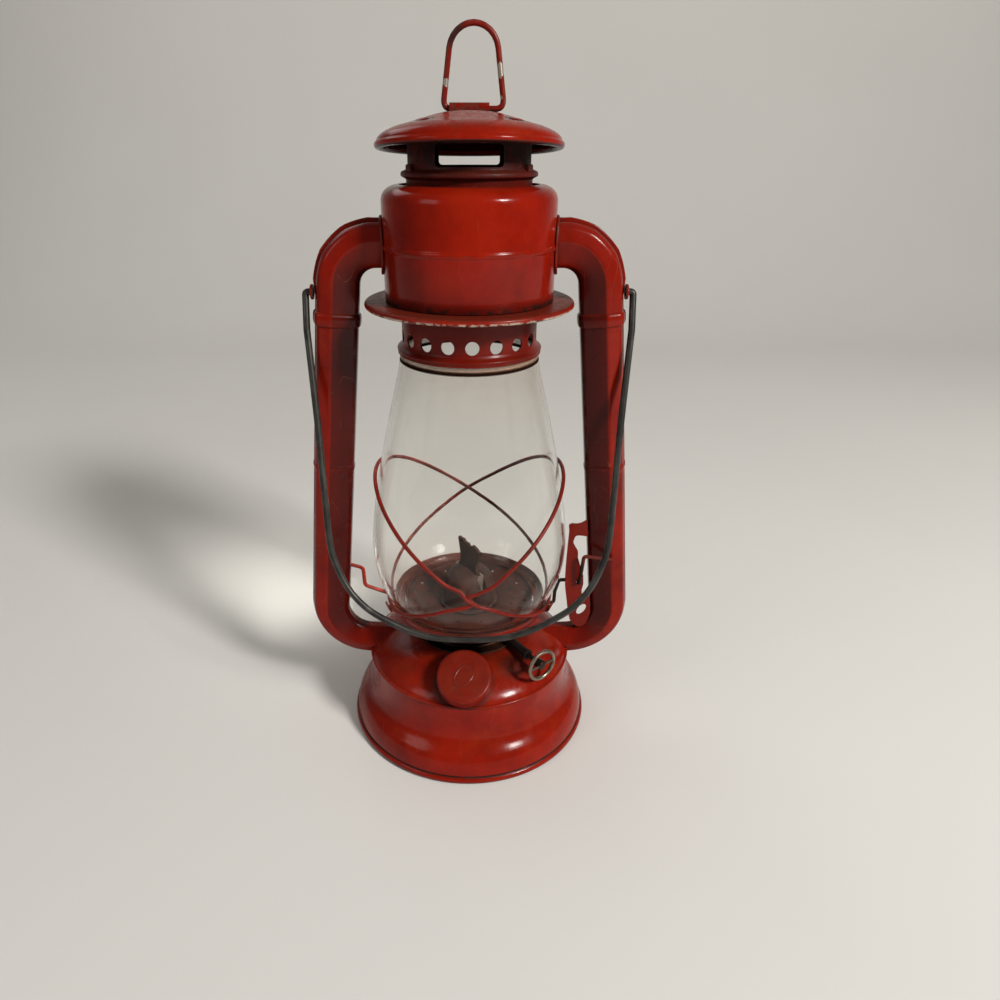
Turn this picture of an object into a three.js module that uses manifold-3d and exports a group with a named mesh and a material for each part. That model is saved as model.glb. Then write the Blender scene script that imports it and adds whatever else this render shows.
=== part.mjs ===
// Tubular kerosene lantern of painted sheet steel with a glass globe. Millimetres, +Z up.
// The origin is the middle of the base on the floor. The viewer stands at -Y, and +X is to the right.
import * as THREE from 'three';
import { mergeVertices } from 'three/addons/utils/BufferGeometryUtils.js';
import Module from 'manifold-3d';

const wasm = await Module();
wasm.setup();

// Stock and fits
const sheet = 0.8;
const seatGap = 0.3;
const overrun = 2;
const roundSteps = 28;
const smallSteps = 20;
const rodSteps = 12;
const wireSides = 6;

// Fount: the tank with its flared foot
const footRadius = 72;
const footRoll = 2.2;
const wallRadius = 59.5;
const ridgeHeight = 43.6;
const ridgeBead = 0.8;
const domeHeight = 59.0;
const panHeight = 6.4;
const tankTopHeight = 56;
const tankTopRadius = 23.5;

// Burner
const drumRadius = 27.4;
const galleryReach = 1.5;
const galleryRadius = drumRadius + galleryReach;
const domeHoleSlack = 0.4;
const domeHoleRadius = galleryRadius + domeHoleSlack;
const galleryTop = 62.4;
const galleryShelf = 3.4;
const drumFloor = 57.2;
const drumTop = 74;
const drumHoleCount = 6;
const drumHoleRadius = 2.6;
const drumHoleShare = 0.72;
const coneRadius = 16;
const coneFoot = 77.3;
const coneTop = 99.6;
const wickWidth = 20;
const wickThickness = 2.2;
const wickTip = 117;
const wickFoot = 26;
const wickTubeWall = 0.5;
const wickTubeSlack = 0.4;
const wickTubeTop = 97.6;
const wickTubeFoot = 48;

// Wick winder: its shaft runs forward and to the right
const winderTurn = THREE.MathUtils.degToRad(-53.5);
const winderHeight = 62.4;
const winderOffset = 5.4;
const shaftRadius = 1.3;
const shaftTail = 9;
const sleeveRadius = 2.6;
const sleeveRoom = 11;
const sprocketRadius = 4;
const sprocketWidth = 1.6;
const sprocketSpread = 5;
const sprocketTeeth = 10;
const handleReach = 60;
const handleRadius = 8.6;
const handleWire = 2.3;
const sleeveEnd = handleReach - sleeveRoom;
const hubWall = 1.4;

// Filler neck and cap, square to the slope of the dome
const neckX = -2.8;
const neckInset = 12.2;
const neckY = neckInset - wallRadius;
const neckZ = 53.0;
const neckTilt = THREE.MathUtils.degToRad(33);
const neckRadius = 12.2;
const neckHeight = 7.5;
const neckDepth = 13;
const neckWall = 1;
const neckFlangeWidth = 1.4;
const capRadius = 15.3;
const capHeight = 8.5;
const capWall = 1;
const gasketHeight = 1.4;
const capOvalWidth = 9;
const capOvalLength = 14;
const capOvalShare = 0.35;

// Globe, its plate and its guard
const glassWall = 2;
const globeFootRadius = 42.2;
const globeHeight = 150;
const globeTopShare = 0.8223;
const globeTopRadius = globeTopShare * globeFootRadius;
const plateHeight = 77.2;
const globeSeat = 2.2;
const globeFoot = plateHeight + globeSeat;
const globeTop = globeFoot + globeHeight;
const plateReach = 2.8;
const plateRadius = globeFootRadius + plateReach;
const plateRim = 5.2;
const plateLip = plateHeight + plateRim;
const lipFlare = 0.6;
const deckInset = 3.6;
const deckRadius = globeFootRadius - deckInset;
const deckHoleRadius = 18;
const deckHoleCount = 10;
const deckHoleSize = 1.6;
const deckHoleShare = 0.62;
const guardWire = 2.1;
const guardLift = 43.9;
const guardMiddle = globeFoot + guardLift;
const guardRise = 38.7;
const guardTurn = THREE.MathUtils.degToRad(8);
const guardSag = 5;
const crossingShare = 0.24;
const crossingOver = 1.7;
const crossingUnder = 0.6;
const earAngle = THREE.MathUtils.degToRad(24);
const earHalfWidth = 3.6;
const earLength = 6.2;

// Barrel between the tubes, its floor and the chimney through it
const collarInset = 1;
const collarRadius = globeTopRadius - collarInset;
const barrelRoom = 7.5;
const barrelRadius = collarRadius + barrelRoom;
const mouthInset = 8.8;
const barrelMouth = barrelRadius - mouthInset;
const barrelBeadProud = 0.5;
const brimReach = 10.5;
const brimRadius = barrelRadius + brimReach;
const brimRoll = 1.6;
const collarLap = 2;
const collarHeight = 35;
const collarFoot = globeTop - collarLap;
const collarTop = collarFoot + collarHeight;
const lipReach = 2.7;
const collarLip = collarRadius + lipReach;
const collarHoleCount = 18;
const collarHoleSize = 6.6;
const collarHoleSides = 6;
const collarHoleRise = 8.6;
const collarHoleHeight = collarFoot + collarHoleRise;
const collarHoleShare = 0.62;
const collarSlack = 0.5;
const brimDrop = 9.8;
const barrelHeight = 51.7;
const shoulderDrop = 7.1;
const beadDrop = 27;
const brimHeight = collarTop - brimDrop;
const barrelFoot = brimHeight + seatGap;
const barrelTop = barrelFoot + barrelHeight;
const barrelShoulder = barrelTop - shoulderDrop;
const barrelBead = barrelTop - beadDrop;
const chimneyInset = 5.7;
const chimneyRadius = collarRadius - chimneyInset;
const chimneyRise = 2.2;
const chimneyTop = barrelTop + chimneyRise;
const springWire = 1.2;
const springTurns = 7;
const springSteps = 8;
const springSides = 5;

// Side tubes
const tubeWidth = 20.9;
const tubeDepth = 17;
const tubeCorner = 6.4;
const tubeBendSteps = 5;
const cornerSteps = 2;
const seamProud = 1.2;
const seamWidth = 1.7;
const footNarrowShare = 0.8;
const elbowRadius = 18.9;
const elbowReach = 3.8;
const elbowCentreX = barrelRadius + elbowReach;
const elbowDrop = 45.6;
const elbowCentreZ = barrelTop - elbowDrop;
const tubeSlope = 0.1;
const bendRadius = 22.6;
const bendCentreZ = 74.3;
const runSlope = 0.05;
const socketDrop = 16;
const socketHeight = elbowCentreZ - socketDrop;
const socketLength = 6;

// Crown, hood and lift ring
const crownLap = 4.2;
const crownFoot = chimneyTop - crownLap;
const crownRoom = 0.7;
const crownRadius = chimneyRadius + crownRoom;
const flareReach = 3;
const crownFlare = crownRadius + flareReach;
const ringRise = 7.8;
const crownRing = crownFoot + ringRise;
const crownHeight = 24.3;
const crownTop = crownFoot + crownHeight;
const windowRise = 9.6;
const windowHeight = 9.2;
const windowFoot = crownFoot + windowRise;
const windowTop = windowFoot + windowHeight;
const windowSpan = THREE.MathUtils.degToRad(62);
const sideWindowSpan = THREE.MathUtils.degToRad(30);
const windowCorner = 1.6;
const hoodReach = 14.3;
const hoodRadius = crownRadius + hoodReach;
const hoodRoll = 1.7;
const hoodRimDrop = 6.5;
const hoodRim = crownTop - hoodRimDrop;
const hoodCrownRise = 6.5;
const hoodTop = crownTop + hoodCrownRise;
const hoodTilt = THREE.MathUtils.degToRad(4.1);
const bossShare = 0.651;
const bossLength = 9.5;
const bossHeight = 1.2;
const bossDrop = 5;
const bossPlace = hoodTop - bossDrop;
const bossTilt = THREE.MathUtils.degToRad(16);
const ringWire = 2.6;
const ringHalfWidth = 15.9;
const ringHeight = 32.8;
const ringArc = 12.7;
const ringBend = 3.4;
const ringClearance = 0.5;
const ringSteps = 6;
const ringTrimShare = 0.3;
const strapLength = 20;
const strapSlack = 0.45;

// Bail
const bailWire = 3.5;
const pivotDrop = 3;
const bailPivotZ = elbowCentreZ - pivotDrop;
const bailClearance = 1.12;
const bailBend = 2.7;
const bailStandoff = 3.94;
const earThickness = 1.2;
const earRadius = 4.2;

// Globe lift: bracket, lever and guide arm
const liftPlane = -5.5;
const bracketThickness = 1.2;
const bracketReach = 7.8;
const bracketLow = 60.3;
const bracketHigh = 132.6;
const bracketStrip = 3.4;
const lobeReach = 2.9;
const lobeZ = 71;
const lobeHoleWidth = 4.8;
const lobeHoleLength = 8.4;
const leverWire = 2.2;
const leverInset = 6.54;
const leverPivotZ = 92;
const leverBend = 2;
const leverTipInset = 2.4;
const leverHeelReach = 5.3;
const leverRiseReach = 5.6;
const leverRiseZ = 84;
const leverElbowReach = 7.6;
const leverCrankReach = 1.2;
const leverCrankZ = 112;
const leverThumbReach = 17.8;
const leverThumbZ = 109.5;
const leverBack = -3.4;
const leverFront = -10.8;
const armWire = 2.2;
const armBend = 3;
const armInset = 8.87;
const armReachZ = 85.8;
const armEndReach = 17;
const armEndZ = 96;

const red = { color: 0xa3261a, roughness: 0.42, metalness: 0.1 };
const black = { color: 0x1c1a19, roughness: 0.6, metalness: 0.5 };
const bare = { color: 0xa09684, roughness: 0.35, metalness: 0.9 };
const steel = { color: 0x55544e, roughness: 0.4, metalness: 0.85 };
const glass = { color: 0xd8d4c4, roughness: 0.05, metalness: 0, transparent: true, opacity: 0.35 };
const cotton = { color: 0x3a3531, roughness: 0.95, metalness: 0 };
const seal = { color: 0x2b2724, roughness: 0.9, metalness: 0 };

const lantern = new THREE.Group();
const flat = (x, y) => new THREE.Vector2(x, y);
const point = (x, y, z) => new THREE.Vector3(x, y, z);
const upwards = point(0, 0, 1);
const sideways = point(1, 0, 0);
const backwards = point(0, 1, 0);

// Joins, cuts and meshes
function solidOf(geometry) {
  const bareGeometry = geometry.clone();
  bareGeometry.deleteAttribute('normal');
  bareGeometry.deleteAttribute('uv');
  const merged = mergeVertices(bareGeometry);
  const corners = merged.index.array;
  const kept = [];
  for (let i = 0; i < corners.length; i += 3) {
    const [a, b, c] = [corners[i], corners[i + 1], corners[i + 2]];
    if (a !== b && b !== c && c !== a) kept.push(a, b, c);
  }
  const vertProperties = new Float32Array(merged.attributes.position.array);
  return new wasm.Manifold(new wasm.Mesh({ numProp: 3, vertProperties, triVerts: new Uint32Array(kept) }));
}

function geometryOf(solid) {
  const mesh = solid.getMesh();
  const geometry = new THREE.BufferGeometry();
  const places = new Float32Array(mesh.vertProperties);
  geometry.setAttribute('position', new THREE.BufferAttribute(places, mesh.numProp));
  geometry.setIndex(new THREE.BufferAttribute(new Uint32Array(mesh.triVerts), 1));
  geometry.computeVertexNormals();
  return geometry;
}

function cut(geometry, ...cutters) {
  let solid = solidOf(geometry);
  for (const cutter of cutters) solid = solid.subtract(solidOf(cutter));
  return geometryOf(solid);
}

function join(geometry, ...others) {
  let solid = solidOf(geometry);
  for (const other of others) solid = solid.add(solidOf(other));
  return geometryOf(solid);
}

function overlapOf(geometry, other) {
  return geometryOf(solidOf(geometry).intersect(solidOf(other)));
}

function add(name, geometry, finish, parent = lantern) {
  const mesh = new THREE.Mesh(geometry, new THREE.MeshStandardMaterial(finish));
  mesh.name = name;
  parent.add(mesh);
  return mesh;
}

// A closed ring of outline points round the axis, or a profile that starts and ends on it
function revolve(profile, steps = roundSteps) {
  const points = [...profile];
  if (THREE.ShapeUtils.area(points) < 0) points.reverse();
  const touchesAxis = points.some((place) => place.x === 0);
  if (!touchesAxis) points.push(points[0].clone());
  if (touchesAxis) {
    while (!(points[0].x === 0 && points[points.length - 1].x === 0)) points.push(points.shift());
  }
  return new THREE.LatheGeometry(points, steps).rotateX(Math.PI / 2);
}

function offsetLine(line, distance) {
  return line.map((place, i) => {
    const before = line[Math.max(i - 1, 0)];
    const after = line[Math.min(i + 1, line.length - 1)];
    const first = place.clone().sub(before).normalize();
    const second = after.clone().sub(place).normalize();
    if (i === 0) first.copy(second);
    if (i === line.length - 1) second.copy(first);
    const normal = flat(-first.y - second.y, first.x + second.x).normalize();
    const lean = normal.dot(flat(-first.y, first.x));
    return place.clone().addScaledVector(normal, distance / Math.max(lean, 0.5));
  });
}

// A sheet whose outer face follows the line, and whose inner face lies a thickness to its left
function sheetLine(line, thickness = sheet) {
  const inner = offsetLine(line, thickness);
  for (const place of inner) place.x = Math.max(place.x, 0);
  return [...line, ...inner.reverse()];
}

function spline(places, steps) {
  return new THREE.SplineCurve(places).getPoints(steps);
}

function circleOutline(radius, sides, centre = flat(0, 0)) {
  return Array.from({ length: sides }, (_, i) => {
    const angle = ((i + 0.5) / sides) * 2 * Math.PI;
    return flat(centre.x + radius * Math.cos(angle), centre.y + radius * Math.sin(angle));
  });
}

// The outside of a rolled edge, from one angle to another round its own centre
function rollArc(centre, radius, from, to, steps = 4) {
  return Array.from({ length: steps + 1 }, (_, i) => {
    const angle = THREE.MathUtils.degToRad(from + ((to - from) * i) / steps);
    return flat(centre.x + radius * Math.cos(angle), centre.y + radius * Math.sin(angle));
  });
}

function ringBead(ringRadius, height, beadRadius, sides = 8, steps = roundSteps) {
  const corner = beadRadius / Math.cos(Math.PI / sides);
  return revolve(circleOutline(corner, sides, flat(ringRadius, height)), steps);
}

function rod(radius, from, to, steps = rodSteps) {
  const length = from.distanceTo(to);
  const geometry = new THREE.CylinderGeometry(radius, radius, length, steps);
  geometry.rotateX(Math.PI / 2);
  const turn = new THREE.Quaternion().setFromUnitVectors(upwards, to.clone().sub(from).normalize());
  geometry.applyQuaternion(turn);
  const middle = from.clone().lerp(to, 0.5);
  geometry.translate(middle.x, middle.y, middle.z);
  return geometry;
}

function block(low, high) {
  const size = high.clone().sub(low);
  const middle = low.clone().lerp(high, 0.5);
  return new THREE.BoxGeometry(size.x, size.y, size.z).translate(middle.x, middle.y, middle.z);
}

function prism(outline, depth, holes = []) {
  const shape = new THREE.Shape(outline);
  for (const hole of holes) shape.holes.push(new THREE.Path(hole));
  return new THREE.ExtrudeGeometry(shape, { depth, bevelEnabled: false });
}

// A station of a swept path: a place and the direction of travel there
function station(place, direction) {
  return { place, direction: direction.clone().normalize() };
}

// The stations of a bent wire, each corner turned at the bend radius
function bentPath(corners, bend, closed = false, bendSteps = 4) {
  const stations = [];
  const count = corners.length;
  for (let i = 0; i < count; i += 1) {
    const here = corners[i];
    const before = corners[(i + count - 1) % count];
    const after = corners[(i + 1) % count];
    if (!closed && i === 0) {
      stations.push(station(here, after.clone().sub(here)));
    } else if (!closed && i === count - 1) {
      stations.push(station(here, here.clone().sub(before)));
    } else {
      const come = here.clone().sub(before).normalize();
      const go = after.clone().sub(here).normalize();
      const turn = come.angleTo(go);
      const room = Math.min(here.distanceTo(before), here.distanceTo(after)) / 2.1;
      const setback = Math.min(bend * Math.tan(turn / 2), room);
      const start = here.clone().addScaledVector(come, -setback);
      const end = here.clone().addScaledVector(go, setback);
      const steps = Math.round((bendSteps * turn * 2) / Math.PI);
      for (let k = 0; k <= steps; k += 1) {
        const t = steps ? k / steps : 0.5;
        const place = start.clone().multiplyScalar((1 - t) ** 2);
        place.addScaledVector(here, 2 * t * (1 - t));
        place.addScaledVector(end, t ** 2);
        stations.push(station(place, come.clone().multiplyScalar(1 - t).addScaledVector(go, t)));
      }
    }
  }
  return stations;
}

// A section swept along stations. Its second axis starts at the hint and is carried along an open path
function sweep(stations, section, hint, closed = false) {
  const sections = stations.map((_, i) => {
    const drawn = typeof section === 'function' ? section(i) : section;
    return THREE.ShapeUtils.area(drawn) < 0 ? [...drawn].reverse() : drawn;
  });
  const outline = sections[0];
  const places = [];
  let carried = typeof hint === 'function' ? null : hint;
  for (const [i, { place, direction }] of stations.entries()) {
    const second = carried ? carried.clone() : hint(place);
    second.addScaledVector(direction, -second.dot(direction)).normalize();
    if (carried && !closed) carried = second;
    const first = second.clone().cross(direction);
    for (const spot of sections[i]) {
      places.push(place.clone().addScaledVector(first, spot.x).addScaledVector(second, spot.y));
    }
  }
  const around = outline.length;
  const rings = stations.length;
  const corners = [];
  for (let i = 0; i < (closed ? rings : rings - 1); i += 1) {
    const next = ((i + 1) % rings) * around;
    for (let j = 0; j < around; j += 1) {
      const a = i * around + j;
      const b = i * around + ((j + 1) % around);
      const c = next + ((j + 1) % around);
      const d = next + j;
      corners.push(a, b, c, a, c, d);
    }
  }
  if (!closed) {
    const last = (rings - 1) * around;
    for (const [a, b, c] of THREE.ShapeUtils.triangulateShape(outline, [])) {
      corners.push(a, c, b, last + a, last + b, last + c);
    }
  }
  const geometry = new THREE.BufferGeometry().setFromPoints(places);
  geometry.setIndex(corners);
  geometry.computeVertexNormals();
  return geometry;
}

function wire(corners, diameter, bend, hint, closed = false, bendSteps = 4) {
  const path = bentPath(corners, bend, closed, bendSteps);
  return sweep(path, circleOutline(diameter / 2, wireSides), hint, closed);
}

function mirrored(geometry) {
  const copy = geometry.clone().scale(-1, 1, 1);
  const corners = copy.index ? copy.index.array : null;
  if (corners) {
    for (let i = 0; i < corners.length; i += 3) {
      [corners[i], corners[i + 1]] = [corners[i + 1], corners[i]];
    }
  }
  return copy;
}

// Fount
const rollCentre = flat(footRadius - footRoll, footRoll);
const skirtLine = [
  flat(footRadius - 0.86 * footRoll, 2.1 * footRoll),
  flat(footRadius - 1.25 * footRoll, 5 * footRoll),
  flat(footRadius - 2.9 * footRoll, 8 * footRoll),
  flat(wallRadius + 1.25 * footRoll, 10 * footRoll),
  flat(wallRadius + 0.2 * footRoll, 12.9 * footRoll),
  flat(wallRadius, ridgeHeight),
];
const footLine = rollArc(rollCentre, footRoll, 180, 380, 4);
footLine.splice(2, 1, flat(rollCentre.x - 0.4 * footRoll, 0), flat(rollCentre.x + 0.4 * footRoll, 0));
add('fount_skirt', revolve([...footLine, ...skirtLine, ...offsetLine(skirtLine, sheet).reverse()]), red);

const panEdge = footRadius - 1.15 * footRoll - sheet - seatGap;
const panLine = [flat(panEdge, panHeight + 3 * sheet), flat(panEdge - sheet, panHeight), flat(0, panHeight)];
add('fount_bottom', revolve(sheetLine(panLine.reverse())), black);

const ridgeFoot = ridgeHeight + seatGap;
const domeCurve = spline([
  flat(wallRadius - ridgeBead, ridgeFoot + 2.2 * ridgeBead),
  flat(0.84 * wallRadius, ridgeFoot + 0.53 * (domeHeight - ridgeFoot)),
  flat(0.69 * wallRadius, ridgeFoot + 0.87 * (domeHeight - ridgeFoot)),
  flat(0.56 * wallRadius, domeHeight),
], 3);
const domeLine = [
  flat(wallRadius + ridgeBead, ridgeFoot),
  flat(wallRadius + ridgeBead, ridgeFoot + 1.4 * ridgeBead),
  ...domeCurve,
  flat(domeHoleRadius, domeHeight),
];

// Everything that the fount's outside fills, with the seat gap round it
const fountEnvelope = revolve([
  ...offsetLine([...skirtLine, ...domeLine], -seatGap),
  flat(0, domeHeight + seatGap),
  flat(0, 0),
]);

// Side tubes. The outline's -x is the side away from the globe, where the seam stands proud
function tubeOutline(grow, seam, narrowing = 1) {
  const [halfWidth, halfDepth] = [tubeWidth / 2 + grow, tubeDepth / 2 + grow];
  const share = (tubeWidth * narrowing + 2 * grow) / (tubeWidth + 2 * grow);
  const inwards = (spot) => flat((halfWidth + spot.x) * share - halfWidth, spot.y);
  const corner = tubeCorner + grow;
  const outline = [];
  const centres = [[1, 1, 0], [-1, 1, 1], [-1, -1, 2], [1, -1, 3]];
  for (const [sideX, sideY, quarter] of centres) {
    for (let k = 0; k <= cornerSteps; k += 1) {
      const angle = ((quarter + k / cornerSteps) * Math.PI) / 2;
      const x = sideX * (halfWidth - corner) + corner * Math.cos(angle);
      const y = sideY * (halfDepth - corner) + corner * Math.sin(angle);
      outline.push(flat(x, y));
    }
  }
  const narrowed = outline.map(inwards);
  if (!seam) return narrowed;
  const half = seamWidth / 2;
  const proud = halfWidth + seamProud;
  const seamCorners = [[-halfWidth, half], [-proud, half], [-proud, -half], [-halfWidth, -half]];
  narrowed.splice(2 * (cornerSteps + 1), 0, ...seamCorners.map(([x, y]) => flat(x, y)));
  return narrowed;
}

function arcStations(centreX, centreZ, radius, from, to, steps) {
  return Array.from({ length: steps + 1 }, (_, i) => {
    const angle = from + ((to - from) * i) / steps;
    const way = Math.sign(to - from);
    const place = point(centreX + radius * Math.cos(angle), 0, centreZ + radius * Math.sin(angle));
    return station(place, point(-way * Math.sin(angle), 0, way * Math.cos(angle)));
  });
}

const slopeAngle = Math.atan(tubeSlope);
const runAngle = Math.atan(runSlope);
const elbowEndX = elbowCentreX + elbowRadius * Math.cos(slopeAngle);
const elbowEndZ = elbowCentreZ + elbowRadius * Math.sin(slopeAngle);
const tubeAxisAt = (z) => elbowEndX + tubeSlope * (elbowEndZ - z);
const bendStartZ = bendCentreZ + bendRadius * Math.sin(slopeAngle);
const bendCentreX = tubeAxisAt(bendStartZ) - bendRadius * Math.cos(slopeAngle);
const tubeDown = point(tubeSlope, 0, -1);
const runInward = point(-1, 0, -runSlope);

const tubeStation = (z) => station(point(tubeAxisAt(z), 0, z), tubeDown);
const elbowPath = [
  station(point(chimneyRadius, 0, elbowCentreZ + elbowRadius), sideways),
  ...arcStations(elbowCentreX, elbowCentreZ, elbowRadius, Math.PI / 2, slopeAngle, tubeBendSteps),
  tubeStation(socketHeight + socketLength / 2),
];
const bendFinish = runAngle - Math.PI / 2;
const bendPath = arcStations(bendCentreX, bendCentreZ, bendRadius, slopeAngle, bendFinish, tubeBendSteps);
const bendEnd = bendPath[bendPath.length - 1].place;
const runEnd = bendEnd.clone().addScaledVector(runInward.clone().normalize(), wallRadius / 2);
const lowerStart = tubeStation(socketHeight + socketLength / 2 - seatGap);
const lowerPath = [lowerStart, ...bendPath, station(runEnd, runInward)];
const overlong = (stations) => {
  const first = stations[0];
  const last = stations[stations.length - 1];
  return [
    station(first.place.clone().addScaledVector(first.direction, -overrun), first.direction),
    ...stations,
    station(last.place.clone().addScaledVector(last.direction, overrun), last.direction),
  ];
};

const collarGap = barrelBeadProud + seatGap;
const barrelShell = (grow) => {
  const [low, high] = [point(0, 0, socketHeight), point(0, 0, barrelTop)];
  return rod(barrelRadius + collarGap + grow, low, high, roundSteps);
};
const socketPath = [
  tubeStation(socketHeight + socketLength / 2 + sheet),
  tubeStation(socketHeight - socketLength / 2),
];
const socketBore = [
  tubeStation(socketHeight + socketLength / 2),
  tubeStation(socketHeight - socketLength / 2 - overrun),
];
const upperTube = cut(
  join(
    sweep(elbowPath, tubeOutline(0, true), backwards),
    sweep(socketPath, tubeOutline(seatGap + sheet, true), backwards),
  ),
  sweep(overlong(elbowPath), tubeOutline(-sheet, false), backwards),
  sweep(socketBore, tubeOutline(seatGap, true), backwards),
  barrelShell(0),
);
const narrowingAt = (i) => 1 - (1 - footNarrowShare) * THREE.MathUtils.clamp((i - 1) / tubeBendSteps, 0, 1);
const lowerTube = cut(
  sweep(lowerPath, (i) => tubeOutline(0, true, narrowingAt(i)), backwards),
  sweep(overlong(lowerPath), (i) => tubeOutline(-sheet, false, narrowingAt(i - 1)), backwards),
  fountEnvelope,
);
add('right_upper_tube', upperTube, red);
add('left_upper_tube', mirrored(upperTube), red);
add('right_lower_tube', lowerTube, red);
add('left_lower_tube', mirrored(lowerTube), red);

// Air ports where the tubes meet the dome and the barrel
const portGrow = -4 * sheet;
const domePort = sweep(lowerPath.slice(-2), tubeOutline(portGrow, false, footNarrowShare), backwards);
const barrelPort = sweep(elbowPath.slice(0, 3), tubeOutline(portGrow, false), backwards);

// Filler neck
const neckGroup = new THREE.Group();
neckGroup.position.set(neckX, neckY, neckZ);
neckGroup.rotation.x = neckTilt;
neckGroup.updateMatrixWorld(true);
const alongNeck = (geometry) => geometry.clone().applyMatrix4(neckGroup.matrixWorld);
const offNeck = (geometry) => geometry.clone().applyMatrix4(neckGroup.matrixWorld.clone().invert());
const neckRod = (radius, low, high) => rod(radius, point(0, 0, low), point(0, 0, high));
const neckBore = neckRod(neckRadius + seatGap, -neckDepth - overrun, neckHeight);

const domeSolid = revolve(sheetLine(domeLine));
const neckHole = alongNeck(neckBore);
add('fount_top', cut(domeSolid, neckHole, domePort, mirrored(domePort)), red);

const tankTopLine = [
  flat(wallRadius - sheet - seatGap, ridgeHeight - 3 * sheet),
  flat(0.56 * wallRadius, ridgeHeight + 3 * sheet),
  flat(tankTopRadius, tankTopHeight),
  flat(wickWidth / 2 + 4 * wickThickness / 2, tankTopHeight),
];
add('tank_top', cut(revolve(sheetLine(tankTopLine), smallSteps), neckHole), black);

const neckFlange = neckRadius + neckFlangeWidth;
const neckOutside = join(
  neckRod(neckRadius, -neckDepth, neckHeight),
  neckRod(neckFlange, -overrun, neckWall),
);
const neckInside = neckRod(neckRadius - neckWall, -neckDepth - overrun, neckHeight + overrun);
const neckSkirtCut = cut(offNeck(fountEnvelope), neckRod(neckRadius, -2 * neckDepth, neckHeight));
add('filler_neck', cut(neckOutside, neckInside, neckSkirtCut), red, neckGroup);

const gasketFoot = neckHeight + seatGap;
const gasketOuter = neckRadius + neckWall + seatGap;
const gasketLine = [
  flat(neckRadius - 2 * neckWall, gasketFoot),
  flat(gasketOuter, gasketFoot),
  flat(gasketOuter, gasketFoot + gasketHeight),
  flat(neckRadius - 2 * neckWall, gasketFoot + gasketHeight),
];
add('cap_gasket', revolve(gasketLine, smallSteps), seal, neckGroup);

const capTop = gasketFoot + gasketHeight + seatGap + capWall;
const capFoot = capTop - capHeight;
const capBevel = 0.1 * capHeight;
const capLine = [
  flat(capRadius, capFoot),
  flat(capRadius - 0.2 * capBevel, capTop - capBevel),
  flat(capRadius - capBevel, capTop),
  flat(0, capTop),
];
const capOval = prism(
  new THREE.EllipseCurve(0, 0, capOvalWidth / 2, capOvalLength / 2).getPoints(rodSteps).slice(1),
  capWall,
).translate(0, 0, capTop - capOvalShare * capWall);
add('filler_cap', cut(revolve(sheetLine(capLine, capWall), smallSteps), capOval), red, neckGroup);
lantern.add(neckGroup);

// Burner parts share the winder's direction
const burnerGroup = new THREE.Group();
burnerGroup.rotation.z = winderTurn;
lantern.add(burnerGroup);

const galleryLedge = galleryRadius - galleryShelf;
const galleryFoot = drumFloor - seatGap - sheet;
const flangeFoot = domeHeight + seatGap;
const galleryLine = [
  flat(galleryLedge, galleryFoot),
  flat(galleryRadius, galleryFoot),
  flat(galleryRadius, flangeFoot),
  flat(domeHoleRadius + 4 * sheet, flangeFoot),
  flat(domeHoleRadius + 4 * sheet, flangeFoot + sheet),
  flat(galleryRadius, flangeFoot + sheet),
  ...rollArc(flat(galleryRadius - sheet / 2, galleryTop), sheet, -30, 210, 2),
  flat(galleryRadius - sheet, galleryFoot + sheet),
  flat(galleryLedge, galleryFoot + sheet),
];
const winderAxis = (x) => point(x, winderOffset, winderHeight);
const sleeveHole = rod(sleeveRadius + seatGap, winderAxis(drumRadius - 2 * overrun), winderAxis(sleeveEnd));
add('burner_gallery', cut(revolve(galleryLine, smallSteps), sleeveHole), steel, burnerGroup);

const drumCollar = coneRadius - 2 * sheet;
const drumLine = [
  flat(0, drumFloor),
  flat(drumRadius, drumFloor),
  flat(drumRadius, drumTop - 2 * sheet),
  flat(drumRadius - 2 * sheet, drumTop),
  flat(drumCollar, drumTop),
  flat(drumCollar, coneFoot - seatGap),
];
const tubeHalfWidth = wickWidth / 2 + wickTubeSlack + wickTubeWall;
const tubeHalfThickness = wickThickness / 2 + wickTubeSlack + wickTubeWall;
const slotCut = (grow, low, high) => block(
  point(-tubeHalfWidth - grow, -tubeHalfThickness - grow, low),
  point(tubeHalfWidth + grow, tubeHalfThickness + grow, high),
);
const drumHoles = [];
const drumHoleHeight = drumFloor + drumHoleShare * (drumTop - drumFloor);
for (let i = 0; i < drumHoleCount; i += 1) {
  const angle = ((i + 0.5) / drumHoleCount) * 2 * Math.PI;
  const reach = (radius) => point(radius * Math.cos(angle), radius * Math.sin(angle), drumHoleHeight);
  drumHoles.push(rod(drumHoleRadius, reach(drumRadius - overrun), reach(drumRadius + overrun), wireSides));
}
add('burner_body', cut(
  revolve(sheetLine(drumLine), smallSteps),
  slotCut(seatGap, drumFloor - overrun, drumFloor + overrun),
  sleeveHole,
  ...drumHoles,
), black, burnerGroup);

const coneLine = [
  flat(coneRadius + 2 * sheet, coneFoot),
  flat(coneRadius, coneFoot + sheet),
  ...spline([
    flat(coneRadius - 0.2 * sheet, coneFoot + 0.15 * (coneTop - coneFoot)),
    flat(0.9 * coneRadius, coneFoot + 0.55 * (coneTop - coneFoot)),
    flat(0.58 * coneRadius, coneFoot + 0.88 * (coneTop - coneFoot)),
    flat(0, coneTop),
  ], 4),
];
add('burner_cone', cut(
  revolve(sheetLine(coneLine), smallSteps),
  slotCut(seatGap, wickTubeTop - 8 * sheet, coneTop + overrun),
), black, burnerGroup);

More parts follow.
